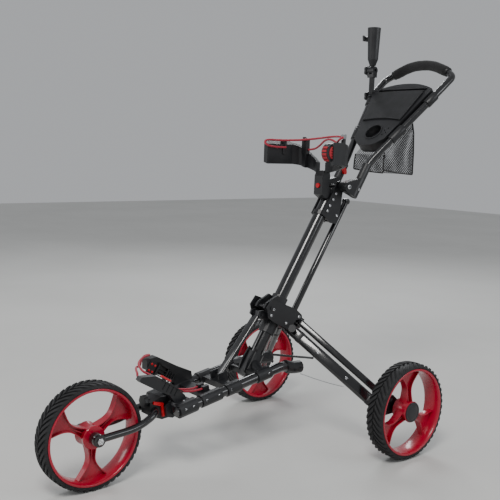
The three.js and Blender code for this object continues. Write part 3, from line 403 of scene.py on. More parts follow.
def socket_bolt(name, body, matrix, centre, outward, radius, height):
    """A button head with a hexagonal recess, pointing outward."""
    bm = bmesh.new()
    steps = 7
    profile = [(0.0, radius)]
    for i in range(steps + 1):
        turn = math.pi / 2 * i / steps
        profile.append((height * math.sin(turn) * 0.95, radius * (0.62 + 0.38 * math.cos(turn))))
    recess = radius * 0.46
    profile += [(height * 0.95, recess), (height * 0.35, recess * 0.95), (height * 0.3, 0.0)]
    lathe(bm, profile, axis="Z", sides=24)
    turn = Vector((0, 0, 1)).rotation_difference(Vector(outward)).to_matrix().to_4x4()
    bm.transform(Matrix.Translation(centre) @ turn)
    finish_mesh(name, bm, body, BOLT, matrix)


# ---------------------------------------------------------------- camera, light and floor

LENS, SENSOR = 57.65, 36.0
CAMERA_PLACE = (1.6934, rear_axle.y - 1.7172, 0.8391)
AZIMUTH, ELEVATION, ROLL = 50.43, 7.13, 1.79


def aim_camera():
    """Looks at the trolley from the front left, from low down and with a slight roll."""
    azimuth, elevation, roll = math.radians(AZIMUTH), math.radians(ELEVATION), math.radians(ROLL)
    forward = Vector((-math.sin(azimuth) * math.cos(elevation), math.cos(azimuth) * math.cos(elevation),
                      -math.sin(elevation)))
    level = Vector((math.cos(azimuth), math.sin(azimuth), 0))
    upright = level.cross(forward)
    right = level * math.cos(roll) + upright * math.sin(roll)
    up = upright * math.cos(roll) - level * math.sin(roll)
    data = bpy.data.cameras.new("camera")
    data.lens = LENS
    data.sensor_width = SENSOR
    camera = bpy.data.objects.new("camera", data)
    bpy.context.collection.objects.link(camera)
    basis = Matrix((right, up, -forward)).transposed().to_4x4()
    camera.matrix_world = Matrix.Translation(CAMERA_PLACE) @ basis
    bpy.context.scene.camera = camera


def area_light(name, place, target, size, power, colour=(1, 1, 1)):
    data = bpy.data.lights.new(name, "AREA")
    data.shape = "RECTANGLE"
    data.size, data.size_y = size
    data.energy = power
    data.color = colour
    light = bpy.data.objects.new(name, data)
    light.location = place
    light.rotation_euler = (Vector(target) - Vector(place)).to_track_quat("-Z", "Y").to_euler()
    bpy.context.collection.objects.link(light)


def light_and_floor():
    area_light("key", (1.6, -1.9, 3.2), (0, 0, 0.5), (1.1, 1.1), 78, (1.0, 0.985, 0.96))
    area_light("fill", (3.2, 1.6, 1.8), (0, 0, 0.5), (1.6, 1.2), 22, (0.94, 0.97, 1.0))
    area_light("back", (-2.4, 2.4, 2.6), (0, 0, 0.6), (1.6, 0.9), 48, (0.96, 0.98, 1.0))
    area_light("left", (-2.2, -2.6, 1.8), (0, -0.2, 0.4), (1.0, 1.4), 20)
    world = bpy.data.worlds.new("studio")
    world.use_nodes = True
    world.node_tree.nodes["Background"].inputs["Color"].default_value = (0.87, 0.89, 0.92, 1)
    world.node_tree.nodes["Background"].inputs["Strength"].default_value = 0.5
    bpy.context.scene.world = world
    bm = bmesh.new()
    bmesh.ops.create_grid(bm, x_segments=2, y_segments=2, size=9.0)
    mesh = bpy.data.meshes.new("floor")
    bm.to_mesh(mesh)
    bm.free()
    floor = bpy.data.objects.new("floor", mesh)
    bpy.context.collection.objects.link(floor)
    floor.location.z = -0.0005
    pale = surface("floor", (0.60, 0.60, 0.58), (0.64, 0.64, 0.62), (0.7, 0.85), 60, 0.0002, blotch=1.2)
    mesh.materials.append(pale)


aim_camera()
light_and_floor()


# ---------------------------------------------------------------- cords

CORD_WIDTH = 6.0

lower_cord_route = [
    (20, -185.6, 20), (22, -205, 22), (24.5, -232, 31), (25.8, -258, 43), (25, -284, 66), (24.5, -308, 89),
    (21, -322, 103), (8, -331, 111), (-14, -328, 116), (-38, -316, 119), (-56, -292, 121), (-66, -266, 118),
    (-70, -279, 118), (-67, -292, 110), (-54, -306, 104), (-32, -328, 112), (-8, -343, 116), (12, -352, 116),
    (22, -357, 110), (25.2, -345, 98), (25.8, -322, 77), (25, -300, 58), (25, -282, 44), (24.5, -262, 35),
    (26, -240, 28), (36, -214, 22), (42, -185.6, 20),
]
upper_cord_route = [
    (-96.2, -62, 124), (-96.2, -84, 124), (-96.2, -108, 125), (-95.2, -126, 127), (-98.5, -135.8, 131),
    (-105, -136.5, 137), (-106, -130, 143.4), (-104.5, -112, 145), (-102, -90, 144.6), (-95, -62, 145),
    (-87, -38, 146), (-80, -21, 147), (-70, -15.6, 148), (-56, -14.5, 149), (-32, -12, 151), (0, -11, 154),
    (34, -13, 157), (62, -15.5, 158.5), (86, -18, 158), (101, -23, 156.5), (109, -30.5, 156),
    (108, -39, 153), (101, -41.5, 147), (90, -35, 142), (76, -28, 143), (60, -26, 148), (44, -25, 150),
    (20, -18, 145), (-8, -7, 133), (-34, -1, 123), (-61, -2, 119),
]
tether_route = [
    (72, -177, 208), (84, -171.5, 206), (98, -164.5, 203), (112, -157.5, 200), (126, -150.5, 197.3),
    (140, -143.5, 195), (154, -136.5, 193), (168, -129.5, 191.3), (180, -123.5, 190.2), (190, -118.5, 189.5),
]


def held_cord(name, node, route, matrix, width, body, finish, strands=0):
    """A cord that the trolley holds at both ends."""
    path = smooth_path(route, 5)
    bm = bmesh.new()
    if strands:
        for k in range(strands):
            twist = []
            for i, point in enumerate(path):
                turn = i * 0.9 + 2 * math.pi * k / strands
                tangent = (path[min(i + 1, len(path) - 1)] - path[max(i - 1, 0)]).normalized()
                side = tangent.orthogonal().normalized()
                other = tangent.cross(side)
                twist.append(point + (side * math.cos(turn) + other * math.sin(turn)) * width * 0.24)
            sweep(bm, twist, circle(width * 0.26, 8))
    else:
        sweep(bm, path, circle(width / 2, 16))
    piece = finish_mesh(name, bm, body, finish, matrix, [node])


braid = ("red_cord", red_braid)
held_cord("lower_elastic", "lower_cord", lower_cord_route, base_frame, CORD_WIDTH, "base", braid)
held_cord("upper_elastic", "upper_cord", upper_cord_route, cradle_frame, CORD_WIDTH, "mast", braid)
held_cord("tether", "leg_tether", tether_route, ground, 2.4, "left_leg", ("steel", zinc_steel), strands=3)


# ---------------------------------------------------------------- wheels

WHEEL_RADIUS = 135.0
TYRE_HALF = 28.0
LIP_RADIUS = 122.5
HUB_HALF = 23.0
TREAD_PITCHES = 46
SPOKE_FOOT, SPOKE_HEAD = 22.0, LIP_RADIUS - 9
SPOKE_STEPS = 12


def tyre(name, node, body, matrix, mirror=1):
    """Carcass with smooth sidewalls, and a tread of slanted lugs that meet in a groove."""
    bm = bmesh.new()
    w, root = TYRE_HALF, WHEEL_RADIUS - 4.2
    lathe(bm, [
        (-w + 2, LIP_RADIUS + 0.2), (-w + 0.6, LIP_RADIUS + 1.5), (-w + 0.3, root - 7), (-w + 2, root - 2.2),
        (-w + 6, root - 0.4), (-9, root), (-1.4, root), (0, root - 0.8), (1.4, root), (9, root),
        (w - 6, root - 0.4), (w - 2, root - 2.2), (w - 0.3, root - 7), (w - 0.6, LIP_RADIUS + 1.5),
        (w - 2, LIP_RADIUS + 0.2), (w - 13, LIP_RADIUS + 0.3), (-w + 13, LIP_RADIUS + 0.3),
        (-w + 2, LIP_RADIUS + 0.2),
    ], sides=120)
    pitch = 2 * math.pi / TREAD_PITCHES

    def spot(x, turn, radius):
        return (x, radius * math.cos(turn), radius * math.sin(turn))

    for k in range(TREAD_PITCHES):
        for side in (1, -1):
            base_turn = pitch * (k + (0.5 if side < 0 else 0.0))
            rows = []
            for x, crown in ((1.8, 0.0), (7.5, 0.0), (13.5, -0.15), (19.5, -0.7), (25.2, -2.6)):
                slant = mirror * pitch * 0.062 * x
                width = pitch * (0.29 if x < 20 else 0.25)
                top = WHEEL_RADIUS + crown
                lug = ((-1.12, root - 2.0), (-0.92, top), (0.92, top), (1.12, root - 2.0))
                rows.append([bm.verts.new(spot(side * x, base_turn + slant + u * width, r)) for u, r in lug])
            for row, ahead in zip(rows, rows[1:]):
                for i in range(3):
                    bm.faces.new((row[i], row[i + 1], ahead[i + 1], ahead[i]))
            bm.faces.new(rows[0])
            shoulder_turn = base_turn + mirror * pitch * 1.6
            shoulder = ((-1.1, root - 10), (-0.9, root - 5.5), (0.9, root - 5.5), (1.1, root - 10))
            outer = [bm.verts.new(spot(side * (w - 0.25), shoulder_turn + u * pitch * 0.2, r))
                     for u, r in shoulder]
            for i in range(3):
                bm.faces.new((rows[-1][i], rows[-1][i + 1], outer[i + 1], outer[i]))
    finish_mesh(name, bm, body, ("tyre_rubber", tyre_rubber), matrix, [node], angle=32)


def spoke_edge(side):
    """One edge of a spoke, from hub to barrel: a waist, then a flare. Points are (out, across)."""
    edge = []
    for i in range(SPOKE_STEPS + 1):
        t = i / SPOKE_STEPS
        out = SPOKE_FOOT + (SPOKE_HEAD - SPOKE_FOOT) * t
        waist = 12.5 - 5.0 * math.sin(math.pi * min(t * 1.25, 1.0))
        flare = 33 * max(t - 0.36, 0) ** 1.9 / 0.64 ** 1.9
        edge.append((out, side * (waist + flare)))
    return edge


def turned(a, b, turn):
    """Two coordinates in the wheel's plane, turned about its axle."""
    return (a * math.cos(turn) - b * math.sin(turn), a * math.sin(turn) + b * math.cos(turn))


def wall_along(bm, points, thickness, heights, turn):
    """An upright rib along points in the wheel's plane; heights are (low, high) in X per point."""
    rings = []
    for i, (out, across) in enumerate(points):
        ahead = points[min(i + 1, len(points) - 1)]
        behind = points[max(i - 1, 0)]
        run = Vector((ahead[0] - behind[0], ahead[1] - behind[1])).normalized()
        side = Vector((-run.y, run.x)) * thickness / 2
        low, high = heights[i]
        corners = ((-1.0, low), (1.0, low), (0.7, high), (-0.7, high))
        rings.append([bm.verts.new((x, *turned(out + side.x * share, across + side.y * share, turn)))
                      for share, x in corners])
    join_rows(bm, rings)


def facing(heights, faces_out):
    """Heights for a wheel whose open face is towards +X, or mirrored for one towards -X."""
    return heights if faces_out > 0 else [(-high, -low) for low, high in heights]


def rim(name, node, body, matrix, spoke_turn, faces_out=1):
    """Deep barrel with rolled lips, a hub, and three spokes: a web between two flared ribs."""
    w = TYRE_HALF
    bm = bmesh.new()
    lip = [(1.2, 0.6), (0.5, 1.6), (0.5, 5.2), (1.2, 6.2), (3.5, 7.2), (8, 9.2)]
    bed = [(11, 0.6), (14, 7.6)]
    lathe(bm, [
        *[(-w + inward, LIP_RADIUS - down) for inward, down in lip],
        (-6, LIP_RADIUS - 10.8), (6, LIP_RADIUS - 10.8),
        *[(w - inward, LIP_RADIUS - down) for inward, down in lip[::-1]],
        *[(w - inward, LIP_RADIUS - down) for inward, down in bed],
        *[(-w + inward, LIP_RADIUS - down) for inward, down in bed[::-1]],
        (-w + 1.2, LIP_RADIUS - 0.6),
    ], sides=120)
    lathe(bm, [
        (-HUB_HALF, 8.4), (-HUB_HALF, 28), (-HUB_HALF + 1.5, 29.6), (-HUB_HALF + 9, 28.5), (0, 24.5),
        (HUB_HALF - 9, 28.5), (HUB_HALF - 1.5, 29.6), (HUB_HALF, 28), (HUB_HALF, 8.4), (-HUB_HALF, 8.4),
    ], sides=48)
    for step in (0, 120, 240):
        turn = math.radians(spoke_turn + step)
        for side in (1, -1):
            tall = []
            for i in range(SPOKE_STEPS + 1):
                t = i / SPOKE_STEPS
                tall.append((-13 + 6 * t, 13 - 5 * math.sin(math.pi * t * 0.5) + 3 * t ** 4))
            wall_along(bm, spoke_edge(side), 3.4, facing(tall, faces_out), turn)
        spine = [(point[0], 0.0) for point in spoke_edge(1)[:8]]
        ridge = [(-6.0, 9.5 - 9.0 * i / 7) for i in range(8)]
        wall_along(bm, spine, 3.0, facing(ridge, faces_out), turn)
        web = [*spoke_edge(1), *spoke_edge(-1)[::-1]]
        prism(bm, [turned(a, b, turn) for a, b in web], -3.5, 1.5)
    finish_mesh(name, bm, body, RED, matrix, [node], angle=40)


def hub_cap(name, node, body, matrix, side):
    """A shallow black cap with a raised ring and a slightly crowned face."""
    bm = bmesh.new()
    start = HUB_HALF + GAP
    profile = [(0, 6.5), (0, 27.2), (1.2, 28), (2.2, 27.8), (2.9, 26.2), (2.9, 23.4), (2.4, 22.8),
               (2.4, 21.2), (3.0, 20.4), (3.6, 12), (3.8, 5), (3.85, 0.0)]
    lathe(bm, [(side * (start + along), radius) for along, radius in profile], sides=64)
    finish_mesh(name, bm, body, SATIN, matrix, [node])


front_hub = frame_at(joint_point("front_wheel_spin"))
tyre("front_tread", "front_tyre", "front_wheel", front_hub, mirror=-1)
rim("front_wheel_rim", "front_rim", "front_wheel", front_hub, 32)
for side_name, side, spoke_turn in (("left", 1, 90), ("right", -1, 30)):
    hub = frame_at(joint_point(f"{side_name}_wheel_spin"))
    wheel_body = f"{side_name}_wheel"
    tyre(f"{side_name}_tread", f"rear_{side_name}_tyre", wheel_body, hub)
    rim(f"{side_name}_wheel_rim", f"rear_{side_name}_rim", wheel_body, hub, spoke_turn, side)
    hub_cap(f"{side_name}_cap", f"rear_{side_name}_hub_cap", wheel_body, hub, side)


# ---------------------------------------------------------------- painted tubes

SIDE_SPACING = 130.0
HALF = SIDE_SPACING / 2
SIDE_TUBE_RADIUS, MAST_RADIUS = 14, 19
LEG_WIDE, LEG_THICK = 33, 19
ROD_WIDE, ROD_THICK = 20, 12
ROD_SETBACK = 18
STRUT_WIDE, STRUT_THICK = 27, 11
STAY_START, STAY_RADIUS = (40, -263, 269.6), 3.2
LINK_SETBACK, LINK_FOOT, LINK_HEAD, LINK_RADIUS = 71, 206, 605, 9


def tube_piece(name, node, body, matrix, corners, radius, bend=0.0, sides=32):
    bm = bmesh.new()
    path = rounded_path(corners, bend) if bend else [Vector(corner) for corner in corners]
    sweep(bm, path, circle(radius, sides))
    finish_mesh(name, bm, body, PAINT, matrix, [node])


def along_z(*heights):
    return [Vector((0, 0, z)) for z in heights]


def frame_along(start, end, second):
    """A frame at start whose Z runs to end and whose Y lies along second."""
    down = (end - start).normalized()
    second = second.normalized()
    basis = Matrix((second.cross(down), second, down)).transposed().to_4x4()
    return Matrix.Translation(start) @ basis @ Matrix.Scale(MM, 4)


def link_bar(name, node, body, matrix, length, wide, thick, overhang):
    """An oval bar down Z, with softened ends past both of its pins."""
    bm = bmesh.new()
    path = along_z(-overhang, -overhang + 1.2, length + overhang - 1.2, length + overhang)
    sweep(bm, path, oval(wide, thick, 40), first_side=(0, 1, 0), scales=(0.93, 1.0, 1.0, 0.93))
    finish_mesh(name, bm, body, PAINT, matrix, [node])


def rear_leg(side_name):
    """An oval leg and the slimmer rod beside it, with cross bolts and two collars."""
    body = f"{side_name}_leg"
    head = joint_point(f"{body}_fold")
    foot = joint_point(f"{side_name}_hub_swing")
    rod_head = joint_point(f"{body}_rod_fold")
    across = rod_head - head
    length = (foot - head).length / MM
    leg_frame = frame_along(head, foot, across)
    link_bar(f"{side_name}_leg_bar", f"leg_{side_name}", body, leg_frame, length, LEG_WIDE, LEG_THICK, 16)

    axes = leg_frame.to_3x3().normalized()
    sideways = axes.inverted() @ Vector(joints[f"{body}_fold"]["axis"])
    inward = -1 if sideways.x > 0 else 1
    shift = axes @ Vector((ROD_SETBACK * inward * MM, 0, 0))
    rod_frame = frame_along(rod_head + shift, foot + across + shift, across)
    link_bar(f"{side_name}_rod_bar", f"leg_rod_{side_name}", f"{body}_rod", rod_frame, length,
             ROD_WIDE, ROD_THICK, 9.5)

    for k, along in enumerate((0.30, 0.62, 0.94)):
        place = (-inward * 9.4, 0, length * along)
        socket_bolt(f"{body}_bolt_{k}", body, leg_frame, place, (-inward, 0, 0), 4.4, 2.8)
    bm = bmesh.new()
    collar = oval(LEG_WIDE + 1.4, LEG_THICK + 1.4, 40)
    for z in (32, length - 40):
        path = along_z(z - 6, z - 5, z + 5, z + 6)
        sweep(bm, path, collar, first_side=(0, 1, 0), scales=(0.97, 1, 1, 0.97))
    finish_mesh(f"{body}_collars", bm, body, SATIN, leg_frame)
    return leg_frame @ Vector((0, -LEG_WIDE / 2 - 2.5, length * 0.3))


def stay(end):
    """The thin rod from the base to a point on the left leg."""
    bm = bmesh.new()
    bar(bm, STAY_START, ground.inverted() @ end, STAY_RADIUS, 20)
    finish_mesh("stay", bm, "base", PAINT, ground, ["stay_rod"])


def front_strut():
    """The oval strut between its pins on the mast and on the base."""
    head = mast_frame @ Vector((0, -50, 163))
    foot = base_frame @ Vector((0, -92, 22))
    length = (head - foot).length / MM
    bm = bmesh.new()
    path = along_z(-7, -5.5, length + 5.5, length + 7)
    section = oval(STRUT_WIDE, STRUT_THICK, 40)
    sweep(bm, path, section, first_side=(1, 0, 0), scales=(0.86, 1, 1, 0.86))
    strut_frame = frame_along(foot, head, (head - foot).cross(Vector((1, 0, 0))))
    finish_mesh("strut", bm, "base", PAINT, strut_frame, ["front_strut"])


def link_rod():
    """The rod behind the mast, with an eye across its upper end."""
    head = Vector((0, LINK_SETBACK, LINK_HEAD))
    across = Vector((LINK_RADIUS, 0, 0))
    bm = bmesh.new()
    bar(bm, (0, LINK_SETBACK, LINK_FOOT), head, LINK_RADIUS, 32, round_off=2)
    bar(bm, head - across, head + across, LINK_RADIUS, 32, round_off=1.5)
    finish_mesh("link", bm, "link_rod", PAINT, mast_frame, ["link_rod"])


for side_name, x in (("left", HALF), ("right", -HALF)):
    corners = [(x, -290, 0), (x, 76, 0), (x, 107.5, -15.75), (x, 132, -21)]
    tube_piece(f"{side_name}_side_tube", f"side_tube_{side_name}", "base", base_frame, corners,
               SIDE_TUBE_RADIUS, 22)
tube_piece("lower_mast", "lower_mast_tube", "base", mast_frame, [(0, 10, 14), (0, 10, 154)],
           MAST_RADIUS, sides=48)
tube_piece("upper_mast", "upper_mast_tube", "mast", mast_frame, [(0, 0, 196), (0, 0, 600)],
           MAST_RADIUS, sides=48)
stay(rear_leg("left"))
rear_leg("right")
front_strut()
link_rod()


# ---------------------------------------------------------------- fork and its knob

FORK_HALF, FORK_TUBE_RADIUS, FORK_BEND = 41.5, 9.5, 38
AXLE_Y, AXLE_Z = -215.5, -28
KNOB_Y, KNOB_Z, KNOB_RADIUS, KNOB_LOBES = -56.3, 30, 16, 8


def fork():
    """One tube bent round the wheel, with a round lug at each end of the axle."""
    side_route = [(FORK_HALF, AXLE_Y, AXLE_Z), (FORK_HALF, -103.5, -20), (FORK_HALF * 0.92, -42, 9)]
    route = side_route + [(-x, y, z) for x, y, z in side_route[::-1]]
    bm = bmesh.new()
    sweep(bm, rounded_path(route, FORK_BEND, 12), circle(FORK_TUBE_RADIUS, 32))
    for side in (1, -1):
        bar(bm, (side * 24.3, AXLE_Y, AXLE_Z), (side * 51.8, AXLE_Y, AXLE_Z), 16, 40, round_off=2)
    finish_mesh("fork", bm, "fork", PAINT, fork_frame, ["fork_tube"])


def front_axle():
    """The bolt through the fork's lugs, with a hexagonal nut at each end."""
    bm = bmesh.new()
    bar(bm, (-55, AXLE_Y, AXLE_Z), (55, AXLE_Y, AXLE_Z), 5.7, 24)
    nut = [(52.2, 0), (52.2, 9.2), (56.4, 9.2), (57.6, 8), (57.6, 5), (56, 4.6), (56, 0)]
    for side in (1, -1):
        lathe(bm, [(side * along, radius) for along, radius in nut], sides=6, centre=(0, AXLE_Y, AXLE_Z))
    finish_mesh("axle_bolt", bm, "fork", BOLT, fork_frame, ["front_axle"], bevel=0.4)


def alignment_knob():
    """A thumb wheel with finger grooves, its axis along Y."""
    bm = bmesh.new()
    rings = ((-0.2, 0.9), (-1.2, 1.0), (-10.4, 1.0), (-11.7, 0.9))
    lobed_body(bm, rings, KNOB_RADIUS, KNOB_LOBES, 0.045,
               lambda along, a, b: (a, KNOB_Y + along, KNOB_Z + b))
    bar(bm, (0, KNOB_Y - 1, KNOB_Z), (0, -24, KNOB_Z), 4, 20)
    finish_mesh("knob", bm, "alignment_knob", BLACK, fork_frame, ["alignment_knob"])


fork()
front_axle()
alignment_knob()


# ---------------------------------------------------------------- handle

ARM_FOOT = 47.5
ARM_SPREAD = 85.5
ARM_LENGTH = 310.0
CROWN = 121.0
HANDLE_RADIUS = 10.5


def arm_x(along):
    return ARM_FOOT + ARM_SPREAD * along / ARM_LENGTH


def handle_route():
    lean = math.radians(ARM_LEAN - MAST_LEAN)
    half = [
        (ARM_FOOT, math.sin(lean) * 98, -math.cos(lean) * 98), (ARM_FOOT, 0, 0),
        (ARM_FOOT + ARM_SPREAD, 0, ARM_LENGTH), (ARM_FOOT + ARM_SPREAD + 4, 10, ARM_LENGTH + 74),
        (110, 8, ARM_LENGTH + 94), (40, -7, ARM_LENGTH + CROWN - 3),
    ]
    return rounded_path(half + [(-x, y, z) for x, y, z in half[::-1]], 34, 12)


route = handle_route()
bm = bmesh.new()
sweep(bm, route, circle(HANDLE_RADIUS, 36))
finish_mesh("handle", bm, "handle", PAINT, arm_frame, ["handle_tube"])


def grip():
    """Foam sleeve along the crown of the handle, with a bead and an end ring at each side."""
    inside = [point for point in route if abs(point.x) < 106 and point.z > ARM_LENGTH + 60]
    dense = []
    for a, b in zip(inside, inside[1:]):
        count = max(1, int((b - a).length / 3.0))
        dense += [a.lerp(b, i / count) for i in range(count)]
    dense.append(inside[-1])
    total = len(dense) - 1
    widths = []
    for i in range(total + 1):
        edge = min(i, total - i) / 3.0
        widths.append(0.90 + 0.10 * min(edge, 1.0) + 0.012 * math.sin(i * 0.9) * (edge > 2))
    bm = bmesh.new()
    sweep(bm, dense, circle(16.0, 48), scales=widths)
    finish_mesh("foam_grip", bm, "handle", ("grip_foam", grip_foam), arm_frame, ["handle_grip"], angle=60)
    for k, (point, ahead) in enumerate(((dense[0], dense[1]), (dense[-1], dense[-2]))):
        run = (point - ahead).normalized()
        bm = bmesh.new()
        bar(bm, point + run * 0.4, point + run * 7.5, 15.2, 40, end_radius=13.6, round_off=2)
        finish_mesh(f"grip_ring_{k}", bm, "handle", BLACK, arm_frame)


grip()


# ---------------------------------------------------------------- console, lid and net

CONSOLE_FRONT, CONSOLE_BACK = -16.0, 16.0
CONSOLE_FOOT, CONSOLE_TOP = 64.0, 334.0
LID_FOOT, LID_TOP = 176.0, 304.0
CUP_ALONG, CUP_RADIUS, CUP_FLOOR = 120.0, 27.0, 11.0
SIDE_ROOM = HANDLE_RADIUS + 1.5


def ring_points(centre, radius, count, start=0.0):
    turns = [start + 2 * math.pi * i / count for i in range(count)]
    return [(centre[0] + radius * math.cos(t), centre[1] + radius * math.sin(t)) for t in turns]


def pierced_plate(bm, outline, holes, low, high):
    """A plate across Y whose flat outline has holes through it."""
    loops = [outline] + holes
    flat = [[Vector((a, b, 0)) for a, b in loop] for loop in loops]
    triangles = tessellate_polygon(flat)
    layers = []
    for depth in (low, high):
        layers.append([bm.verts.new((a, depth, b)) for loop in loops for a, b in loop])
    for triangle in triangles:
        for layer in layers:
            bm.faces.new([layer[i] for i in triangle])
    first = 0
    for loop in loops:
        for i in range(len(loop)):
            a, b = first + i, first + (i + 1) % len(loop)
            bm.faces.new((layers[0][a], layers[0][b], layers[1][b], layers[1][a]))
        first += len(loop)
    bmesh.ops.recalc_face_normals(bm, faces=bm.faces)


def both_sides(half_outline):
    return half_outline + [(-a, b) for a, b in half_outline[::-1]]


def console_outline(inset=0.0):
    """A shield: narrow rounded foot, straight sides beside the arms and an arched crown."""
    foot = [(12, CONSOLE_FOOT + inset), (27, CONSOLE_FOOT + 2 + inset), (40, CONSOLE_FOOT + 9 + inset)]
    sides = [(arm_x(b) - SIDE_ROOM - inset, b) for b in (CONSOLE_FOOT + 27, 120, 160, 220, 270, LID_TOP - 6)]
    crown_half = arm_x(LID_TOP) - SIDE_ROOM
    crown_points = [(share * crown_half, CONSOLE_TOP - inset - 30 * share ** 2.2)
                    for share in (0.96, 0.85, 0.7, 0.55, 0.4, 0.25, 0.1)]
    return both_sides(foot + sides + crown_points)


def console():
    """The moulded shield with its cup holder, tee holes, ridge and the collars round the arms."""
    bm = bmesh.new()
    cup = ring_points((0, CUP_ALONG), CUP_RADIUS, 48)
    tees = [ring_points((42 + 9 * (i % 2), 108 + 9 * i), 2.6, 12) for i in range(4)]
    hinge_room = [(-97, LID_TOP - 17), (97, LID_TOP - 17), (97, LID_TOP + 4.5), (-97, LID_TOP + 4.5)]
    pierced_plate(bm, console_outline(), [cup, hinge_room] + tees, CONSOLE_FRONT, CONSOLE_FRONT + 7)
    pierced_plate(bm, console_outline(0.8), [cup], CONSOLE_FRONT + 6.8, CUP_FLOOR + 0.2)
    floor_hole = ring_points((0, CUP_ALONG), 17.5, 6, 0.26)
    pierced_plate(bm, console_outline(), [floor_hole], CUP_FLOOR, CONSOLE_BACK)
    finish_mesh("console_shell", bm, "handle", SATIN, arm_frame, ["console"], bevel=1.6)
    bm = bmesh.new()
    lathe_ring(bm, (0, CUP_ALONG), CUP_RADIUS + 4.5, CUP_RADIUS - 0.2, CONSOLE_FRONT - 1.6, CONSOLE_FRONT + 8)
    finish_mesh("cup_rim", bm, "handle", BLACK, arm_frame, bevel=0.8)
    for side in (1, -1):
        for k, (low, high) in enumerate(((98, 152), (252, 292))):
            bm = bmesh.new()
            ends = [Vector((side * arm_x(low), 0, low)), Vector((side * arm_x(high), 0, high))]
            bar(bm, ends[0], ends[1], HANDLE_RADIUS + 3.4, 36, round_off=2.5)
            middle = (low + high) / 2
            block(bm, 16, 17, (high - low) * 0.86, (side * (arm_x(middle) - 9), -1, middle))
            finish_mesh(f"arm_collar_{k}_{side}", bm, "handle", SATIN, arm_frame, bevel=1.2)


def lathe_ring(bm, centre, outer, inner, low, high):
    pierced_plate(bm, ring_points(centre, outer, 48), [ring_points(centre, inner, 48)], low, high)


def lid():
    """The domed cover above the cup holder, with a curved lower seam."""
    foot_half = arm_x(LID_FOOT) - SIDE_ROOM - 8
    top_half = 94
    seam = [(foot_half * share, LID_FOOT - 8 + 7 * (1 - share ** 2)) for share in (0.0, 0.25, 0.5, 0.75, 1.0)]
    top = [(top_half * share, LID_TOP - 7 - 3 * share ** 3) for share in (1.0, 0.85, 0.6, 0.3, 0.0)]
    outline = both_sides(seam[1:] + top[:-1])
    bm = bmesh.new()
    pierced_plate(bm, outline, [], CONSOLE_FRONT - 4.6, CONSOLE_FRONT - 0.4)
    finish_mesh("lid_panel", bm, "console_lid", BLACK, arm_frame, ["console_lid"], bevel=1.6)
    bm = bmesh.new()
    bar(bm, (-26, CONSOLE_FRONT + 4, LID_TOP - 6), (26, CONSOLE_FRONT + 4, LID_TOP - 6), 5.4, 20)
    block(bm, 34, 3, 5, (0, CONSOLE_FRONT - 3.6, LID_FOOT + 2))
    finish_mesh("lid_hinge", bm, "console_lid", BLACK, arm_frame, bevel=0.8)


console()
lid()

NET_WIDTH, NET_GUSSET = 122.0, 110
net_frame = at(arm_frame, 0, CONSOLE_BACK + 3, 70, ARM_LEAN)
net_side = [(118, 97), (128, 60), (132, 0), (132, -69), (60, -64), (-8, -56), (-6, -30), (-2, -9)]


def net_bag():
    """A pocket of net: two gussets and a strip that goes down the back, along the floor and up the front."""
    bm = bmesh.new()
    uv = bm.loops.layers.uv.new("net")

    def patch(corners, spots):
        face = bm.faces.new([bm.verts.new(corner) for corner in corners])
        for loop, spot in zip(face.loops, spots):
            loop[uv].uv = (spot[0] / 100, spot[1] / 100)

    run = 0.0
    for (y0, z0), (y1, z1) in zip(net_side, net_side[1:]):
        step = math.hypot(y1 - y0, z1 - z0)
        half = NET_WIDTH / 2 - 0.5
        patch([(-half, y0, z0), (half, y0, z0), (half, y1, z1), (-half, y1, z1)],
              [(0, run), (NET_WIDTH, run), (NET_WIDTH, run + step), (0, run + step)])
        run += step
    for side in (1, -1):
        x = side * (NET_WIDTH / 2 - 0.5)
        patch([(x, y, z) for y, z in net_side], net_side)
    bmesh.ops.remove_doubles(bm, verts=bm.verts, dist=0.01)
    area = sum(face.calc_area() for face in bm.faces) * MM * MM
    net = finish_mesh("net", bm, "handle", ("net_mesh", net_cloth), net_frame, ["net_bag"], angle=30)
    edges = bmesh.new()
    for side in (1, -1):
        x = side * (NET_WIDTH / 2 - 0.5)
        bound = [Vector((x, y, z)) for y, z in net_side]
        sweep(edges, rounded_path(bound, 4, 3), circle(2.1, 12))
    hem = finish_mesh("net_binding", edges, "handle", ("black_plastic", grip_foam), net_frame)


net_bag()


# ---------------------------------------------------------------- cradles, levers, knobs and bolts

def lobed_knob(name, node, body, matrix, centre, radius, depth, lobes, back):
    """A plastic thumb knob on a short stem, its axis along X."""
    x, y, z = centre
    bm = bmesh.new()
    rings = ((0.0, 0.86), (-1.6, 1.0), (-depth + 1.6, 1.0), (-depth, 0.86))
    lobed_body(bm, rings, radius, lobes, 0.09, lambda along, a, b: (x + along, y + a, z + b))
    bar(bm, (x - 1, y, z), (x + back, y, z), 3.4, 18)
    finish_mesh(name, bm, body, BLACK, matrix, [node])


lobed_knob("tilt_grip", "tilt_knob", "tilt_knob", tilt_frame, (-15.4, 0, 0), 15.5, 9, 5, 8)
lobed_knob("clamp_grip", "clamp_knob", "clamp_knob", holder_frame, (-17.5, 0, 3), 15.5, 9, 5, 5.2)


def round_pad(bm, centre, radius, depth, ribs, outward):
    """A cushioned disc with raised ribs, facing along X."""
    x, y, z = centre
    bar(bm, (x, y, z), (x + outward * depth, y, z), radius, 36, round_off=1.2)
    for k in range(ribs):
        lift = (k - (ribs - 1) / 2) * 2 * radius * 0.72 / max(ribs - 1, 1)
        reach = math.sqrt(radius ** 2 - lift ** 2) * 0.86
        block(bm, 2.2, 2 * reach, radius * 0.2, (x + outward * (depth + 0.6), y, z + lift))


PAD_Y, PAD_Z, PAD_REACH = -60, 112, 27.6
CASTING_FACE, CLAMP_FACE = 18.4, 16.4


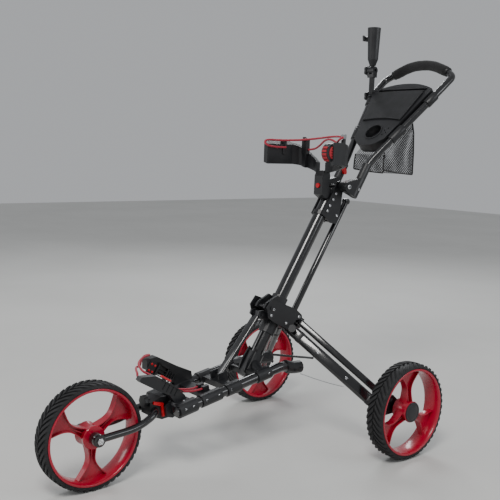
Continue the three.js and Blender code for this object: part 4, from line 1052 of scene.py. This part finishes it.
def upper_cradle_detail():
    """Pads, a clip, rivets and the blocks that hold the elastic cord."""
    bm = bmesh.new()
    for x, side in ((104, 1), (80, -1)):
        round_pad(bm, (x, PAD_Y, PAD_Z), 20, 2.4, 5, side)
    finish_mesh("cradle_pads", bm, "mast", PAD, cradle_frame, bevel=0.6)
    bm = bmesh.new()
    for k in range(5):
        degrees = 150 + 20 * k
        turn = math.radians(degrees)
        centre = (92, PAD_Y + PAD_REACH * math.cos(turn), PAD_Z + PAD_REACH * math.sin(turn))
        block(bm, 17, 3.2, 6.6, (0, 0, 0), Matrix.Translation(centre) @ turned_x(degrees))
    finish_mesh("cradle_rim_pads", bm, "mast", PAD, cradle_frame, bevel=0.7)
    bm = bmesh.new()
    block(bm, 12, 12, 13, (107, -28, 158))
    finish_mesh("post_clip", bm, "mast", ("steel", grey_plastic), cradle_frame, bevel=1.5)
    for k, (y, z, radius) in enumerate(((-113, 122, 8.5), (-47, 98, 8.5), (-16, 84, 5))):
        bm = bmesh.new()
        bar(bm, (-115, y, z), (-118.6, y, z), radius, 30, round_off=1.3)
        bar(bm, (-118, y, z), (-119.4, y, z), radius * 0.5, 20, round_off=0.5)
        finish_mesh(f"cradle_rivet_{k}", bm, "mast", LEVER, cradle_frame)
    bm = bmesh.new()
    for y, width, z in ((-72, 9, 120), (-66, 9, 140)):
        block(bm, 19, width, 22, (-106, y + 4, z - 6))
    block(bm, 21, 15, 46, (-72, -4, 128))
    finish_mesh("cord_clips", bm, "mast", BLACK, cradle_frame, bevel=1.4)


def frame_bolts():
    """Button-head bolts on both faces of the brackets, the hinge and the base castings."""
    for side in (1, -1):
        outward = (side, 0, 0)
        for k, (y, z) in enumerate(((-2, 590), (-3, 530), (38, 538), (-2, 570), (-3, 548))):
            socket_bolt(f"upper_bolt_{k}_{side}", "mast", mast_frame, (side * 25.2, y, z), outward, 4.4, 2.8)
        for k, (y, z) in enumerate(((64, 215), (29, 178), (-34, 172), (-36, 190))):
            socket_bolt(f"bracket_bolt_{k}_{side}", "base", mast_frame, (side * 38.2, y, z), outward, 4.6, 3)
        socket_bolt(f"hinge_bolt_{side}", "handle", hinge_frame, (side * 62.5, 0, 0), outward, 7.2, 3.6)
        socket_bolt(f"elbow_bolt_{side}", "handle", hinge_frame, (side * 61.2, 41, 16), outward, 4.2, 2.6)
        for k, along in enumerate((-268, -244, -200, -160, -118, 14)):
            face = CASTING_FACE if along < -230 else CLAMP_FACE
            place = (side * (HALF + face), along, 3.5)
            socket_bolt(f"base_bolt_{k}_{side}", "base", base_frame, place, outward, 3.8, 2.4)


def lower_cradle_detail():
    """Ribs and red rivets on the far arm, a red latch and ribs on the near one, and casting bolts."""
    slope = math.degrees(math.atan2(-76, 81))
    tip = Matrix.Translation((-54, -284.5, 98)) @ turned_x(slope)
    bm = bmesh.new()
    for along in (33, 67):
        block(bm, 9, 4.5, 44, (3.5, along, 0), tip)
    for across in (-20, 20):
        block(bm, 9, 38, 4.5, (3.5, 50, across), tip)
    for across in (-9, 0, 9):
        block(bm, 6, 30, 2.6, (2.4, 50, across), tip)
    for along in (76, 86, 96):
        block(bm, 5, 2.6, 34, (1.6, along, 0), tip)
    block(bm, 3.4, 25, 32, (1, 17, 0), tip)
    finish_mesh("far_arm_ribs", bm, "base", BLACK, base_frame, bevel=0.6)
    bm = bmesh.new()
    for along in (11, 23):
        for across in (-9, 9):
            foot, top = tip @ Vector((1.5, along, across)), tip @ Vector((4.4, along, across))
            bar(bm, foot, top, 3.3, 20, round_off=0.8)
    finish_mesh("far_arm_rivets", bm, "base", LEVER, base_frame)
    near = Matrix.Translation((50, -300, 88)) @ turned_x(slope)
    bm = bmesh.new()
    block(bm, 8, 34, 5, (-3, 4, 5.4), near)
    finish_mesh("near_arm_latch", bm, "base", LEVER, base_frame, bevel=1.2)
    bm = bmesh.new()
    for along in (10, 24, 38, 52):
        block(bm, 3.4, 2.6, 21, (0.6, along, -12), near)
    block(bm, 4, 76, 3, (0.8, 32, -2.4), near)
    finish_mesh("near_arm_ribs", bm, "base", BLACK, base_frame, bevel=0.6)
    for k, (x, y) in enumerate(((20, -252), (-4, -262), (-28, -250), (60, -258), (-60, -258))):
        socket_bolt(f"casting_bolt_{k}", "base", base_frame, (x, y, 18.2), (0, 0, 1), 3.8, 2.4)


upper_cradle_detail()
frame_bolts()
lower_cradle_detail()


# ---------------------------------------------------------------- castings that keep their CAD shape

SHARP_ANGLE = 34
BEVEL_ANGLE = 38
PLAIN_BEVEL = 0.8


def shading_group():
    """Geometry nodes that shade a solid smooth except across its sharp edges."""
    group = bpy.data.node_groups.new("smooth_by_angle", "GeometryNodeTree")
    group.interface.new_socket("Geometry", in_out="INPUT", socket_type="NodeSocketGeometry")
    group.interface.new_socket("Geometry", in_out="OUTPUT", socket_type="NodeSocketGeometry")
    nodes = group.nodes
    start = nodes.new("NodeGroupInput")
    end = nodes.new("NodeGroupOutput")
    faces = nodes.new("GeometryNodeSetShadeSmooth")
    edges = nodes.new("GeometryNodeSetShadeSmooth")
    edges.domain = "EDGE"
    edges.inputs["Shade Smooth"].default_value = False
    measure = nodes.new("GeometryNodeInputMeshEdgeAngle")
    sharp = nodes.new("FunctionNodeCompare")
    sharp.inputs["B"].default_value = math.radians(SHARP_ANGLE)
    group.links.new(start.outputs[0], faces.inputs["Geometry"])
    group.links.new(faces.outputs[0], edges.inputs["Geometry"])
    group.links.new(measure.outputs["Unsigned Angle"], sharp.inputs["A"])
    group.links.new(sharp.outputs[0], edges.inputs["Selection"])
    group.links.new(edges.outputs[0], end.inputs[0])
    return group


shading = shading_group()


def dress(node, material, bevel):
    """A CAD casting with rounded edges, smooth shading and its own finish."""
    piece = frame["nodes"][node]
    piece.data.materials.clear()
    piece.data.materials.append(material)
    edges = piece.modifiers.new("edges", "BEVEL")
    edges.width = bevel * MM
    edges.segments = 2
    edges.limit_method = "ANGLE"
    edges.angle_limit = math.radians(BEVEL_ANGLE)
    smooth = piece.modifiers.new("shading", "NODES")
    smooth.node_group = shading


red_nodes = {"front_latch_lever", "handle_lock_lever", "cradle_release_button"}
round_edges = {
    "elbow_left": 2.2, "elbow_right": 2.2, "upper_cradle_stem": 2.6, "lower_cradle_arm_left": 2.4,
    "lower_cradle_arm_right": 2.4, "upper_cradle_arm_left": 1.8, "upper_cradle_arm_right": 1.8,
    "front_casting": 1.6, "fork_head": 1.8, "mast_yoke": 1.6, "central_bracket": 1.2,
}
for name, piece in frame["nodes"].items():
    if piece.hide_render:
        continue
    material = red_lever if name in red_nodes else satin_plastic
    dress(name, material, round_edges.get(name, PLAIN_BEVEL))
